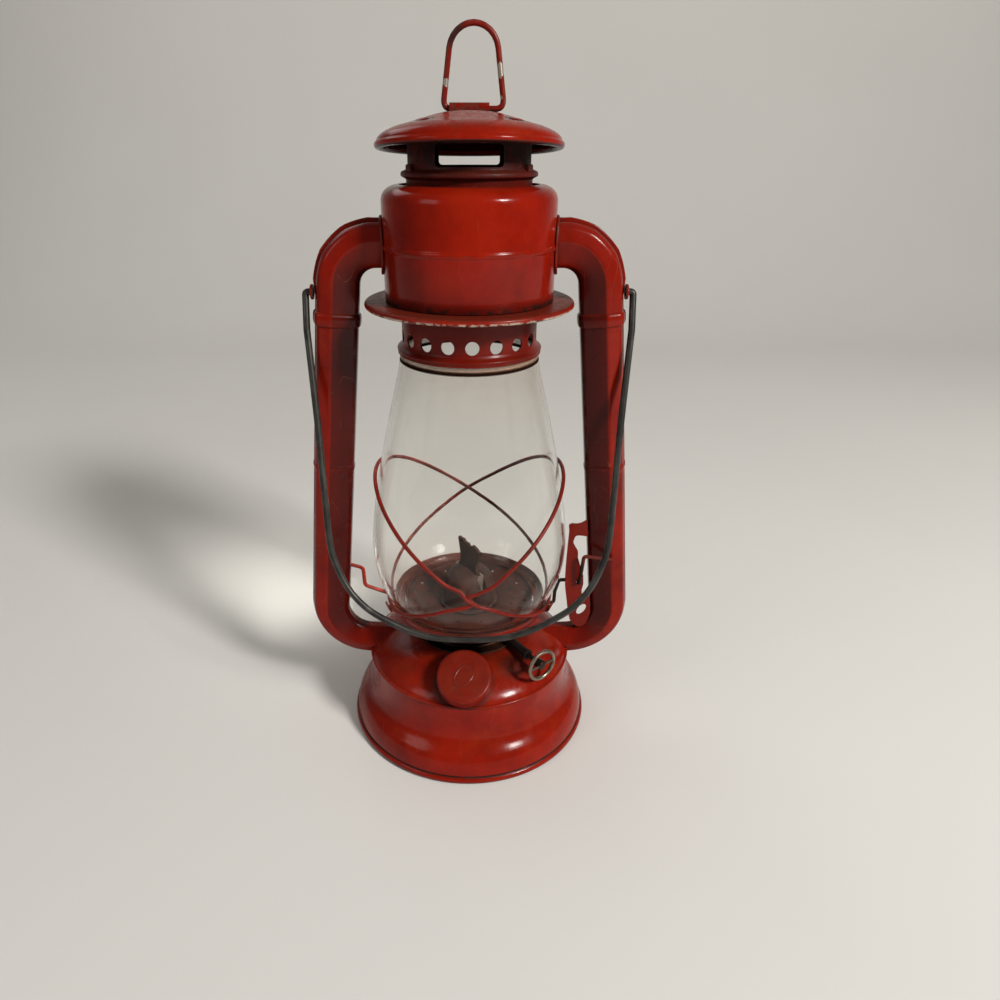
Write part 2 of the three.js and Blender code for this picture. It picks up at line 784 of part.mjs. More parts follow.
const wickTubeBlock = block(
  point(-tubeHalfWidth, -tubeHalfThickness, wickTubeFoot),
  point(tubeHalfWidth, tubeHalfThickness, wickTubeTop),
);
const wickTubeBore = block(
  point(-tubeHalfWidth + wickTubeWall, -tubeHalfThickness + wickTubeWall, wickTubeFoot - overrun),
  point(tubeHalfWidth - wickTubeWall, tubeHalfThickness - wickTubeWall, wickTubeTop + overrun),
);
const sprocketRoom = sprocketRadius + sprocketWidth;
const sprocketCuts = [-1, 1].map((side) => {
  const middle = side * sprocketSpread;
  return block(
    point(middle - sprocketWidth, 0, winderHeight - sprocketRoom),
    point(middle + sprocketWidth, overrun + tubeHalfThickness, winderHeight + sprocketRoom),
  );
});
add('wick_tube', cut(wickTubeBlock, wickTubeBore, ...sprocketCuts), bare, burnerGroup);

// The charred end of the wick is ragged
const raggedShares = [
  [-0.5, 0.955], [-0.34, 0.97], [-0.2, 0.945], [-0.06, 0.985], [0.12, 0.965], [0.3, 1], [0.5, 0.975],
];
const wickLength = wickTip - wickFoot;
const wickOutline = [
  flat(wickWidth / 2, 0),
  ...raggedShares.map(([across, along]) => flat(across * wickWidth, along * wickLength)).reverse(),
  flat(-wickWidth / 2, 0),
];
const wickGeometry = prism(wickOutline, wickThickness).rotateX(Math.PI / 2);
wickGeometry.translate(0, wickThickness / 2, wickFoot);
add('wick', wickGeometry, cotton, burnerGroup);

add('winder_sleeve', cut(
  rod(sleeveRadius, winderAxis(drumRadius - overrun), winderAxis(sleeveEnd)),
  rod(shaftRadius + seatGap, winderAxis(0), winderAxis(handleReach)),
), black, burnerGroup);
const onShaft = (radius, from, to) => rod(radius, winderAxis(from), winderAxis(to), smallSteps / 2);
add('winder_shaft', onShaft(shaftRadius, -shaftTail, handleReach - seatGap), black, burnerGroup);

const toothOutline = Array.from({ length: 2 * sprocketTeeth }, (_, i) => {
  const radius = i % 2 === 0 ? sprocketRadius : 0.68 * sprocketRadius;
  const angle = (i / (2 * sprocketTeeth)) * 2 * Math.PI;
  return flat(radius * Math.cos(angle), radius * Math.sin(angle));
});
const sprocketBore = circleOutline(shaftRadius + seatGap, rodSteps);
[-1, 1].forEach((side, i) => {
  const sprocket = prism(toothOutline, sprocketWidth, [sprocketBore]).rotateY(Math.PI / 2);
  sprocket.translate(side * sprocketSpread - sprocketWidth / 2, winderOffset, winderHeight);
  add(`wick_sprocket_${i + 1}`, sprocket, bare, burnerGroup);
});

// The winder's handle: a ring of wire with a spoke across it and a hub on the shaft
const hubRadius = shaftRadius + hubWall;
const hubFoot = handleReach - 2 * handleWire;
const handleSteps = rodSteps + rodSteps / 3;
const handleRing = ringBead(handleRadius, 0, handleWire / 2, wireSides, handleSteps).rotateY(Math.PI / 2);
handleRing.translate(handleReach, winderOffset, winderHeight);
const handleSpoke = rod(
  0.4 * handleWire,
  point(handleReach, winderOffset - handleRadius, winderHeight),
  point(handleReach, winderOffset + handleRadius, winderHeight),
  wireSides,
);
const handleHub = onShaft(hubRadius, hubFoot, handleReach + handleWire / 2);
const hubBore = onShaft(shaftRadius + seatGap, hubFoot - overrun, handleReach);
add('winder_handle', cut(join(handleRing, handleSpoke, handleHub), hubBore), bare, burnerGroup);

// Globe, as one closed profile of its wall
const globeRise = globeTop - globeFoot;
const globeShares = [
  [0, 1], [0.03, 1.07], [0.065, 1.165], [0.12, 1.225], [0.19, 1.283], [0.27, 1.305], [0.34, 1.28],
  [0.45, 1.2], [0.56, 1.118], [0.68, 1.018], [0.8, 0.94], [0.9, 0.872], [0.945, 0.848],
];
const globeBulge = globeShares.map(([up, out]) => flat(out * globeFootRadius, globeFoot + up * globeRise));
const globeLine = [
  ...spline(globeBulge, 7),
  flat(globeTopRadius, globeTop),
];
add('globe', revolve(sheetLine(globeLine, glassWall)), glass);
const globeRadiusAt = (z) => {
  const above = globeBulge.findIndex((place) => place.y >= z);
  if (above < 1) return globeBulge[Math.max(above, 0)].x;
  const [low, high] = [globeBulge[above - 1], globeBulge[above]];
  return low.x + ((high.x - low.x) * (z - low.y)) / (high.y - low.y);
};

// Globe plate: a ledge for the glass inside a flared lip, with an ear on each side round the guard
const ledgeTop = globeFoot - seatGap;
const plateProfile = [
  flat(deckRadius, plateHeight),
  flat(plateRadius - sheet, plateHeight),
  flat(plateRadius, plateHeight + 1.5 * sheet),
  flat(plateRadius + lipFlare, plateLip),
  flat(plateRadius + lipFlare - sheet, plateLip),
  flat(plateRadius - sheet, ledgeTop),
  flat(deckRadius, ledgeTop),
];
const hoopLow = guardMiddle - guardRise - guardWire / 2;
const earReach = plateRadius + earLength;
function plateEar(side) {
  const tongueTop = hoopLow + seatGap / 2;
  const tongueFoot = plateLip - sheet;
  const earTop = plateLip + 5 * sheet;
  const tongueStart = plateRadius + 0.7 * lipFlare;
  const tongue = join(
    block(point(tongueStart, -earHalfWidth, tongueFoot), point(earReach, earHalfWidth, tongueTop)),
    block(point(earReach - sheet, -earHalfWidth, tongueFoot), point(earReach, earHalfWidth, earTop)),
  );
  return tongue.rotateZ(-Math.PI / 2 + side * (Math.PI / 2 - earAngle));
}
add('globe_plate', join(revolve(plateProfile), plateEar(1), plateEar(-1)), red);

// Pierced deck inside the globe's foot
const deckLine = [
  flat(deckHoleRadius, plateHeight - 2 * sheet),
  flat(0.7 * deckRadius, plateHeight - sheet),
  flat(deckRadius - seatGap, plateHeight + 1.2 * sheet),
  flat(deckRadius - seatGap, plateHeight + 5 * sheet),
];
const deckHoles = [];
for (let i = 0; i < deckHoleCount; i += 1) {
  const angle = (i / deckHoleCount) * 2 * Math.PI;
  const radius = deckHoleShare * deckRadius;
  const spot = (z) => point(radius * Math.cos(angle), radius * Math.sin(angle), z);
  deckHoles.push(rod(deckHoleSize, spot(plateHeight - 4 * sheet), spot(plateHeight + 4 * sheet), wireSides));
}
add('plate_deck', cut(revolve(sheetLine(deckLine), smallSteps), ...deckHoles), steel);

// Guard hoops: two tilted rings of wire round the globe, each over the other at one of the crossings
function guardHoop(side) {
  const corners = Array.from({ length: roundSteps }, (_, i) => {
    const angle = (i / roundSteps) * 2 * Math.PI;
    const fromLow = angle - (side > 0 ? -guardTurn : Math.PI + guardTurn);
    const z = guardMiddle - guardRise * Math.cos(fromLow) - guardSag * Math.sin(fromLow) ** 2;
    const nearCrossing = Math.exp(-((Math.cos(angle) / crossingShare) ** 2));
    const over = side * Math.sin(angle) < 0 ? crossingOver : -crossingUnder;
    const radius = globeRadiusAt(z) + guardWire + over * nearCrossing;
    return point(radius * Math.cos(angle), radius * Math.sin(angle), z);
  });
  const stations = corners.map((place, i) => {
    const after = corners[(i + 1) % corners.length];
    const before = corners[(i + corners.length - 1) % corners.length];
    return station(place, after.clone().sub(before));
  });
  const radial = (place) => point(place.x, place.y, 0);
  return sweep(stations, circleOutline(guardWire / 2, wireSides), radial, true);
}
add('guard_hoop_right', guardHoop(1), red);
add('guard_hoop_left', guardHoop(-1), red);

// Guide arm: a wire from the plate that passes behind the left tube
const armBack = tubeDepth / 2 + armWire;
const armReachX = tubeAxisAt(armReachZ) - tubeWidth / 2 - armInset;
const armCorners = [
  point(-plateRadius - 0.6 * armWire, 0, plateHeight + armWire),
  point(-armReachX, 0, armReachZ),
  point(-armReachX - armWire, armBack, armReachZ + 2.5 * armWire),
  point(-armReachX - armEndReach, armBack, armEndZ),
];
add('guide_arm', wire(armCorners, armWire, armBend, upwards), red);

// Barrel and its floor
const shoulderRise = barrelTop - barrelShoulder;
const shoulderRun = barrelRadius - barrelMouth;
const shoulderLine = [
  flat(barrelRadius, barrelShoulder),
  flat(barrelRadius - 0.06 * shoulderRun, barrelShoulder + 0.35 * shoulderRise),
  flat(barrelRadius - 0.3 * shoulderRun, barrelShoulder + 0.72 * shoulderRise),
  flat(barrelRadius - 0.7 * shoulderRun, barrelTop),
  flat(barrelMouth, barrelTop),
];
const beadLine = [
  flat(barrelRadius, barrelBead - 3 * barrelBeadProud),
  flat(barrelRadius + barrelBeadProud, barrelBead),
  flat(barrelRadius, barrelBead + 3 * barrelBeadProud),
];
const barrelStart = flat(barrelRadius, barrelFoot);
const barrelInside = offsetLine([barrelStart, ...shoulderLine], sheet).reverse();
add('barrel', cut(
  revolve([barrelStart, ...beadLine, ...shoulderLine, ...barrelInside]),
  barrelPort,
  mirrored(barrelPort),
), red);

const sleeveInner = collarRadius + collarSlack;
const sleeveTop = brimHeight + 7 * sheet;
const brimCentre = flat(brimRadius - brimRoll, brimHeight - brimRoll + sheet / 4);
add('barrel_floor', revolve([
  flat(sleeveInner, brimHeight - sheet),
  flat(brimCentre.x - 1.2 * brimRoll, brimHeight - sheet),
  ...rollArc(brimCentre, brimRoll, 200, 430, 4),
  flat(sleeveInner + sheet, brimHeight),
  flat(sleeveInner + sheet, sleeveTop),
  flat(sleeveInner, sleeveTop),
]), red);

// Curved oval flanges where the tubes enter the barrel
const flangeOval = tubeOutline(3.2 * sheet, false);
const flangeBlank = sweep([
  station(point(chimneyRadius, 0, elbowCentreZ + elbowRadius), sideways),
  station(point(elbowCentreX + elbowRadius, 0, elbowCentreZ + elbowRadius), sideways),
], flangeOval, backwards);
const flangeHole = sweep(overlong(elbowPath), tubeOutline(seatGap, true), backwards);
const tubeFlange = cut(overlapOf(flangeBlank, barrelShell(sheet)), barrelShell(0), flangeHole);
add('right_tube_flange', tubeFlange, red);
add('left_tube_flange', mirrored(tubeFlange), red);

// Pierced collar that holds the top of the globe, and the chimney above it
const collarLine = [
  flat(collarLip, collarFoot),
  flat(collarLip - 0.2 * sheet, collarFoot + 2.6 * sheet),
  flat(collarRadius + 0.6 * sheet, collarFoot + 5 * sheet),
  flat(collarRadius, collarFoot + 6.4 * sheet),
  flat(collarRadius, collarTop),
  flat(chimneyRadius + seatGap, collarTop),
];
const collarHoles = [];
for (let i = 0; i < collarHoleCount; i += 1) {
  const angle = ((i + collarHoleShare) / collarHoleCount) * 2 * Math.PI;
  const spot = (radius) => point(radius * Math.cos(angle), radius * Math.sin(angle), collarHoleHeight);
  const [inside, outside] = [spot(collarRadius - overrun), spot(collarRadius + overrun)];
  collarHoles.push(rod(collarHoleSize / 2, inside, outside, collarHoleSides));
}
add('perforated_collar', cut(revolve(sheetLine(collarLine)), ...collarHoles), red);

const chimneyLine = [flat(chimneyRadius, collarTop + seatGap), flat(chimneyRadius, chimneyTop)];
const chimneyFoot = revolve([
  flat(chimneyRadius - sheet, collarTop + seatGap),
  flat(chimneyRadius + 2 * sheet, collarTop + seatGap),
  flat(chimneyRadius + 2 * sheet, collarTop + seatGap + sheet),
  flat(chimneyRadius - sheet, collarTop + seatGap + sheet),
]);
add('chimney_tube', join(revolve(sheetLine(chimneyLine)), chimneyFoot), red);

// Spring between the collar's shoulder and the barrel's mouth
const springRadius = barrelMouth + springWire / 2 + 0.2 * springWire;
const springFoot = collarTop + seatGap + springWire / 2;
const springHead = barrelTop - sheet - seatGap - springWire / 2;
const springLength = springHead - springFoot;
const springStations = Array.from({ length: springTurns * springSteps + 1 }, (_, i) => {
  const share = i / (springTurns * springSteps);
  const angle = share * springTurns * 2 * Math.PI;
  const [x, y] = [springRadius * Math.cos(angle), springRadius * Math.sin(angle)];
  const rise = springLength / (springTurns * 2 * Math.PI);
  return station(point(x, y, springFoot + share * springLength), point(-y, x, rise));
});
add('chimney_spring', sweep(springStations, circleOutline(springWire / 2, springSides), upwards), steel);
const springGaps = springStations.flatMap(({ place }, i) => (
  springStations.slice(i + springSteps / 2).map((other) => place.distanceTo(other.place) - springWire)
));
console.log(`spring: least gap to itself ${Math.min(...springGaps).toFixed(2)} mm`);

// Crown: a flared ring on the chimney and a windowed wall under the hood
const neckOfCrown = chimneyRadius + seatGap + sheet;
const crownLine = [
  flat(neckOfCrown, crownFoot),
  flat(neckOfCrown, crownRing - 5 * sheet),
  flat(crownFlare, crownRing - 3 * sheet),
  flat(crownFlare, crownRing - 0.6 * sheet),
  flat(crownRadius, crownRing + sheet),
  flat(crownRadius, crownTop + 0.08 * crownRadius),
];

// The hood is bent back on the crown's top, with its front raised
function bentBack(geometry) {
  return geometry.translate(0, 0, -crownTop).rotateX(-hoodTilt).translate(0, 0, crownTop);
}
const underHood = bentBack(block(
  point(-hoodRadius, -hoodRadius, crownTop),
  point(hoodRadius, hoodRadius, hoodTop),
));
function crownWindow(angle, span, cornerSteps = 2) {
  const half = crownRadius * Math.sin(span / 2);
  const outline = new THREE.Shape();
  const [low, high] = [windowFoot, windowTop];
  outline.moveTo(-half + windowCorner, low);
  outline.lineTo(half - windowCorner, low);
  outline.absarc(half - windowCorner, low + windowCorner, windowCorner, -Math.PI / 2, 0, false);
  outline.absarc(half - windowCorner, high - windowCorner, windowCorner, 0, Math.PI / 2, false);
  outline.absarc(-half + windowCorner, high - windowCorner, windowCorner, Math.PI / 2, Math.PI, false);
  outline.absarc(-half + windowCorner, low + windowCorner, windowCorner, Math.PI, (3 * Math.PI) / 2, false);
  const settings = { depth: crownRadius, bevelEnabled: false, curveSegments: cornerSteps };
  const cutter = new THREE.ExtrudeGeometry(outline, settings);
  cutter.rotateX(Math.PI / 2);
  cutter.translate(0, crownFlare, 0);
  return cutter.rotateZ(angle);
}
add('crown', cut(
  revolve(sheetLine(crownLine)),
  underHood,
  crownWindow(0, windowSpan),
  crownWindow(Math.PI, windowSpan),
  crownWindow(Math.PI / 2, sideWindowSpan),
  crownWindow(-Math.PI / 2, sideWindowSpan),
), red);

// Hood with a rolled rim and four oval bosses over the crown's wall
const hoodRise = hoodTop - hoodRim;
const hoodCentre = flat(hoodRadius - hoodRoll, hoodRim);
const hoodShares = [[0.25, 1], [0.42, 0.86], [0.77, 0.54], [0.9, 0.39], [0.965, 0.2]];
const hoodLine = hoodShares.map(([out, up]) => flat(out * hoodRadius, hoodRim + up * hoodRise)).reverse();
hoodLine.push(flat(0, hoodTop));
const hoodSkin = revolve([...rollArc(hoodCentre, hoodRoll, -250, 20, 4), ...sheetLine(hoodLine)]);
const bossRing = bossShare * hoodRadius;
const bosses = [1, 3, 5, 7].map((eighth) => {
  const angle = (eighth * Math.PI) / 4;
  const boss = new THREE.SphereGeometry(1, 6, 4).scale(bossLength / 2, bossLength / 3, bossHeight);
  boss.rotateX(-bossTilt).rotateZ(angle - Math.PI / 2);
  return boss.translate(bossRing * Math.cos(angle), bossRing * Math.sin(angle), bossPlace);
});
add('hood', bentBack(join(hoodSkin, ...bosses)), red);

// Lift ring in its strap on the hood
const barZ = hoodTop + ringClearance + ringWire / 2;
const ringArcZ = barZ + ringHeight - ringArc;
const ringCorners = [point(-ringHalfWidth, 0, barZ), point(ringHalfWidth, 0, barZ)];
for (let i = 0; i <= ringSteps; i += 1) {
  const angle = ((i + ringTrimShare) / (ringSteps + 2 * ringTrimShare)) * Math.PI;
  ringCorners.push(point(ringArc * Math.cos(angle), 0, ringArcZ + ringArc * Math.sin(angle)));
}
const barRise = barZ - crownTop;
const liftRing = wire(ringCorners, ringWire, ringBend, backwards, true);
liftRing.translate(0, barRise * Math.sin(hoodTilt), barRise * (Math.cos(hoodTilt) - 1));
add('lift_ring', liftRing, bare);

const strapInner = ringWire / 2 + strapSlack;
const strapOuter = strapInner + sheet;
const strapFoot = hoodTop + seatGap;
const strapFlange = 2.5 * strapOuter;
const strapArch = new THREE.Shape();
strapArch.moveTo(strapInner, strapFoot);
strapArch.lineTo(strapFlange, strapFoot);
strapArch.lineTo(strapFlange, strapFoot + sheet);
strapArch.lineTo(strapOuter, strapFoot + sheet);
strapArch.absarc(0, barZ, strapOuter, 0, Math.PI, false);
strapArch.lineTo(-strapOuter, strapFoot + sheet);
strapArch.lineTo(-strapFlange, strapFoot + sheet);
strapArch.lineTo(-strapFlange, strapFoot);
strapArch.lineTo(-strapInner, strapFoot);
strapArch.absarc(0, barZ, strapInner, Math.PI, 0, true);
const strapSettings = { depth: strapLength, bevelEnabled: false, curveSegments: 8 };
const strap = new THREE.ExtrudeGeometry(strapArch, strapSettings);
strap.rotateX(Math.PI / 2).rotateZ(Math.PI / 2).translate(-strapLength / 2, 0, 0);
add('ring_strap', bentBack(strap), red);

// Bail, resting against the globe plate, and the eyelets on the tubes' seams
const bailShares = [
  [1, 0.1], [0.955, 0.36], [0.926, 0.575], [0.903, 0.71], [0.862, 0.777],
  [0.79, 0.843], [0.682, 0.899], [0.546, 0.939], [0.366, 0.977], [0.16, 0.998],
];
const bailOut = plateRadius + lipFlare + bailClearance + bailWire / 2;
const bailDown = bailPivotZ - plateLip + bailWire / 10;
const bailLean = Math.atan(bailOut / bailDown);
const bailReach = Math.hypot(bailOut, bailDown);
const eyeletX = tubeAxisAt(bailPivotZ) + tubeWidth / 2 + seamProud + seatGap + tubeSlope * earRadius;
const bailHalfWidth = eyeletX + bailStandoff;
const bailGroup = new THREE.Group();
bailGroup.position.z = bailPivotZ;
bailGroup.rotation.x = -bailLean;
const bailSide = bailShares.map(([across, down]) => point(across * bailHalfWidth, 0, -down * bailReach));
const bailStart = [point(eyeletX + seatGap, 0, 0), point(bailHalfWidth, 0, 0), ...bailSide];
const bailFinish = bailStart.map((place) => point(-place.x, place.y, place.z)).reverse();
add('bail', wire([...bailStart, ...bailFinish], bailWire, bailBend, backwards), steel, bailGroup);
lantern.add(bailGroup);

const eyelet = cut(
  rod(earRadius, point(eyeletX, 0, bailPivotZ), point(eyeletX + earThickness, 0, bailPivotZ)),
  rod(bailWire / 2 + seatGap, point(0, 0, bailPivotZ), point(2 * eyeletX, 0, bailPivotZ)),
);
add('right_bail_eyelet', eyelet, red);
add('left_bail_eyelet', mirrored(eyelet), red);

// Lift bracket on the right tube, and the wire lever that raises the globe plate
const edgeAt = (z) => tubeAxisAt(z) - tubeWidth / 2 - seatGap;
const leverPivotX = tubeAxisAt(leverPivotZ) - tubeWidth / 2 - leverInset;
const bracketLeft = leverPivotX - bracketReach;
const lobeX = leverPivotX + lobeReach;
const bracketRise = bracketHigh - bracketLow;
const upBy = (share) => bracketLow + share * bracketRise;
const rightBy = (share) => bracketLeft + share * bracketStrip;
const earHigh = bracketHigh - 0.76 * bracketStrip;
const bracketShape = new THREE.Shape();
bracketShape.moveTo(edgeAt(bracketHigh), bracketHigh);
bracketShape.quadraticCurveTo(edgeAt(bracketHigh) - 0.9 * bracketStrip, earHigh, rightBy(0.76), earHigh);
bracketShape.quadraticCurveTo(rightBy(-0.3), earHigh, rightBy(0.18), upBy(0.89));
bracketShape.lineTo(bracketLeft, upBy(0.443));
bracketShape.lineTo(rightBy(0.94), upBy(0.131));
bracketShape.quadraticCurveTo(rightBy(1.12), bracketLow, lobeX, bracketLow);
bracketShape.quadraticCurveTo(lobeX + 1.5 * bracketStrip, upBy(0.017), edgeAt(lobeZ), lobeZ);
bracketShape.lineTo(edgeAt(upBy(0.29)), upBy(0.29));
const backX = lobeX - 0.18 * bracketStrip;
bracketShape.quadraticCurveTo(backX + 0.48 * bracketStrip, upBy(0.277), backX, upBy(0.36));
bracketShape.lineTo(leverPivotX + 0.88 * bracketStrip, upBy(0.418));
bracketShape.lineTo(leverPivotX + 0.76 * bracketStrip, upBy(0.494));
bracketShape.lineTo(rightBy(1.88), upBy(0.664));
bracketShape.quadraticCurveTo(rightBy(1.76), upBy(0.747), rightBy(1), upBy(0.775));
bracketShape.lineTo(rightBy(1), upBy(0.834));
bracketShape.quadraticCurveTo(rightBy(1.76), upBy(0.881), edgeAt(upBy(0.853)), upBy(0.853));
const holeTilt = THREE.MathUtils.degToRad(-28.6);
const [holeX, holeZ] = [lobeHoleWidth / 2, lobeHoleLength / 2];
const lobeHole = new THREE.EllipseCurve(lobeX, upBy(0.17), holeX, holeZ, 0, 2 * Math.PI, false, holeTilt);
bracketShape.holes.push(new THREE.Path(lobeHole.getPoints(rodSteps).slice(1)));
const pivotHole = circleOutline(leverWire / 2 + seatGap, rodSteps, flat(leverPivotX, leverPivotZ));
bracketShape.holes.push(new THREE.Path(pivotHole));
const bracketDepth = { depth: bracketThickness, bevelEnabled: false, curveSegments: 4 };
const bracket = new THREE.ExtrudeGeometry(bracketShape, bracketDepth).rotateX(Math.PI / 2);
add('lift_bracket', bracket.translate(0, liftPlane + bracketThickness / 2, 0), red);

const leverTipZ = plateHeight - leverWire / 2 - seatGap;
const leverCorners = [
  point(plateRadius - leverTipInset, leverBack, leverTipZ),
  point(plateRadius + leverHeelReach, leverBack, leverTipZ),
  point(plateRadius + leverRiseReach, leverBack, leverRiseZ),
  point(plateRadius + leverElbowReach, leverBack, leverPivotZ),
  point(leverPivotX, leverBack, leverPivotZ),
  point(leverPivotX, leverFront + leverWire, leverPivotZ),
  point(leverPivotX + leverCrankReach, leverFront, leverCrankZ),
  point(leverPivotX + leverThumbReach, leverFront, leverThumbZ),
];
add('lift_lever', wire(leverCorners, leverWire, leverBend, backwards), black);

export default lantern;
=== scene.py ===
"""A worn red kerosene lantern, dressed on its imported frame."""
import math
from functools import reduce

import bmesh
import bpy
from mathutils import Matrix, Vector, noise


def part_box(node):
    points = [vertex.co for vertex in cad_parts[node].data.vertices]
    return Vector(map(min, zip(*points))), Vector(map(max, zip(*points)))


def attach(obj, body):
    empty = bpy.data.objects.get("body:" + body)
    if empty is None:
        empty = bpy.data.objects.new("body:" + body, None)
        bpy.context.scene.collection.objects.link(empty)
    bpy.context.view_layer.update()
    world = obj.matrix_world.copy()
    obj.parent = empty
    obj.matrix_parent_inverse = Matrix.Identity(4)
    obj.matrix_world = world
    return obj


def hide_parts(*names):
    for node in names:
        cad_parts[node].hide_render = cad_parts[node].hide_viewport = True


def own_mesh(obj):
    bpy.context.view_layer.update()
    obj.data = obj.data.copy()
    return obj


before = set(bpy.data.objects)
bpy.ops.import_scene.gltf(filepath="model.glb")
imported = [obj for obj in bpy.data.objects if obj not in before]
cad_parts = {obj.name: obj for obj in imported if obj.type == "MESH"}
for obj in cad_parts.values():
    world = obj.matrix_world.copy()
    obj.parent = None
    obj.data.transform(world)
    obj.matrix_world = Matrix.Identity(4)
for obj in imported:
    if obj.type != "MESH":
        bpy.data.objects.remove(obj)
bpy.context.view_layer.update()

MM = 0.001
TURN = 2 * math.pi
SIDES = 144
SHEET = 0.8
BEVEL = 0.12
SHARP_ANGLE = math.radians(38)
X_AXIS, Y_AXIS, Z_AXIS = (Vector(axis) for axis in ((1, 0, 0), (0, 1, 0), (0, 0, 1)))


# Outlines and paths, in millimetres


def points(*pairs):
    return [Vector(pair) for pair in pairs]


def polar(radius, angle, height=0.0):
    return Vector((radius * math.cos(angle), radius * math.sin(angle), height))


def upright(line):
    """The flat line stood up, its y along Z."""
    return [Vector((p[0], 0, p[1])) for p in line]


def circle(radius, sides=16):
    return [polar(radius, TURN * i / sides).xy for i in range(sides)]


def arc(centre, radius, start, end, steps=12):
    """Points on an arc, with its angles in degrees."""
    angles = [math.radians(start + (end - start) * i / steps) for i in range(steps + 1)]
    return [Vector((centre[0] + radius * math.cos(a), centre[1] + radius * math.sin(a))) for a in angles]


def spline(given, per_span=6):
    """Points on a smooth curve through the given ones."""
    given = [Vector(p) for p in given]
    found = []
    for i in range(len(given) - 1):
        a = given[max(i - 1, 0)]
        b, c = given[i], given[i + 1]
        d = given[min(i + 2, len(given) - 1)]
        for k in range(per_span):
            t = k / per_span
            curve = 2 * b + (c - a) * t + (2 * a - 5 * b + 4 * c - d) * t**2
            found.append(0.5 * (curve + (3 * b - a - 3 * c + d) * t**3))
    found.append(given[-1])
    return found


def offset(line, distance):
    """The line moved to its left."""
    moved = []
    for i, p in enumerate(line):
        first = (p - line[i - 1]).normalized() if i else None
        second = (line[i + 1] - p).normalized() if i + 1 < len(line) else first
        first = first or second
        normal = Vector((-first.y - second.y, first.x + second.x)).normalized()
        lean = max(normal.dot(Vector((-first.y, first.x))), 0.5)
        moved.append(p + normal * distance / lean)
    return moved


def walled(line, thickness=SHEET):
    """A closed outline of a sheet whose outer face is the line."""
    line = [Vector(p) for p in line]
    inner = offset(line, thickness)
    for p in inner:
        p.x = max(p.x, 0)
    return line + inner[::-1]


def corner_cut(p, come, go, reach, steps):
    """Points on a curve past a corner, from the ways into it and out of it."""
    start, end = p - come.normalized() * reach, p + go.normalized() * reach
    shares = [k / steps for k in range(steps + 1)]
    return [start * (1 - t) ** 2 + p * 2 * t * (1 - t) + end * t**2 for t in shares]


def eased(outline, radius, steps=2):
    """The closed outline with every clear corner off the axis rounded."""
    found = []
    for i, p in enumerate(outline):
        come, go = p - outline[i - 1], outline[(i + 1) % len(outline)] - p
        if come.length < 1e-6 or go.length < 1e-6:
            continue
        if come.angle(go) < 0.5 or p.x <= 0:
            found.append(p)
            continue
        reach = min(radius, come.length * 0.45, go.length * 0.45)
        found += corner_cut(p, come, go, reach, steps)
    return found


def slab(x, y, ease):
    """A rectangle from its half sizes."""
    return eased(points((-x, -y), (x, -y), (x, y), (-x, y)), ease)


def bent(corners, radius, closed=False, steps=8):
    """Places along a wire whose corners are rounded."""
    found = []
    count = len(corners)
    for i, p in enumerate(corners):
        if not closed and i in (0, count - 1):
            found.append(Vector(p))
            continue
        come, go = p - corners[i - 1], corners[(i + 1) % count] - p
        turn = come.angle(go)
        reach = min(radius * math.tan(turn / 2), come.length / 2.1, go.length / 2.1)
        found += corner_cut(p, come, go, reach, max(2, round(steps * turn / 1.2)))
    return found


# Meshes, from millimetres


def mesh_of(places, faces):
    mesh = bpy.data.meshes.new("piece")
    mesh.from_pydata([tuple(p) for p in places], [], faces)
    mesh.validate()
    work = bmesh.new()
    work.from_mesh(mesh)
    bmesh.ops.remove_doubles(work, verts=work.verts, dist=1e-7)
    bmesh.ops.recalc_face_normals(work, faces=work.faces)
    work.to_mesh(mesh)
    work.free()
    return mesh


def lathe(outline, sides=SIDES, ease=0.0):
    """A body turned round Z from a closed outline of (radius, height)."""
    outline = eased(outline, ease) if ease else outline
    places, faces = [], []
    count = len(outline)
    for i in range(sides):
        places += [polar(max(p[0], 0), TURN * i / sides, p[1]) * MM for p in outline]
        low, high = i * count, ((i + 1) % sides) * count
        for j in range(count):
            k = (j + 1) % count
            if outline[j][0] > 0 or outline[k][0] > 0:
                faces.append((low + j, high + j, high + k, low + k))
    return mesh_of(places, faces)


def sweep(path, section, hint, closed=False):
    """A section swept along a path, with its second direction near the hint or near the one before."""
    places, faces, outline = [], [], []
    rings = len(path)
    second = None
    for i, place in enumerate(path):
        before = path[i - 1] if i or closed else place
        after = path[(i + 1) % rings] if i + 1 < rings or closed else place
        along = (after - before).normalized()
        second = hint(place) if callable(hint) else (second or hint)
        second = (second - along * second.dot(along)).normalized()
        first = along.cross(second)
        outline = section(i / (rings - 1)) if callable(section) else section
        places += [(place + first * p[0] + second * p[1]) * MM for p in outline]
    count = len(outline)
    for i in range(rings if closed else rings - 1):
        low, high = i * count, ((i + 1) % rings) * count
        for j in range(count):
            k = (j + 1) % count
            faces.append((low + j, low + k, high + k, high + j))
    if not closed:
        faces.append(tuple(range(count))[::-1])
        faces.append(tuple((rings - 1) * count + j for j in range(count)))
    return mesh_of(places, faces)


def wire(corners, diameter, radius, hint, closed=False):
    return sweep(bent([Vector(c) for c in corners], radius, closed), circle(diameter / 2), hint, closed)


def rod(radius, start, end, sides=32):
    start, end = Vector(start), Vector(end)
    hint = Z_AXIS if abs((end - start).normalized().z) < 0.9 else Y_AXIS
    return sweep([start, end], circle(radius, sides), hint)


def rods_round(count, phase, radius, start, end, sides):
    """A ring of rods to cut holes with, each from one (distance, height) to another."""
    found = []
    for i in range(count):
        side = polar(1, TURN * (i + phase) / count)
        found.append(rod(radius, *(side * out + Z_AXIS * z for out, z in (start, end)), sides))
    return found


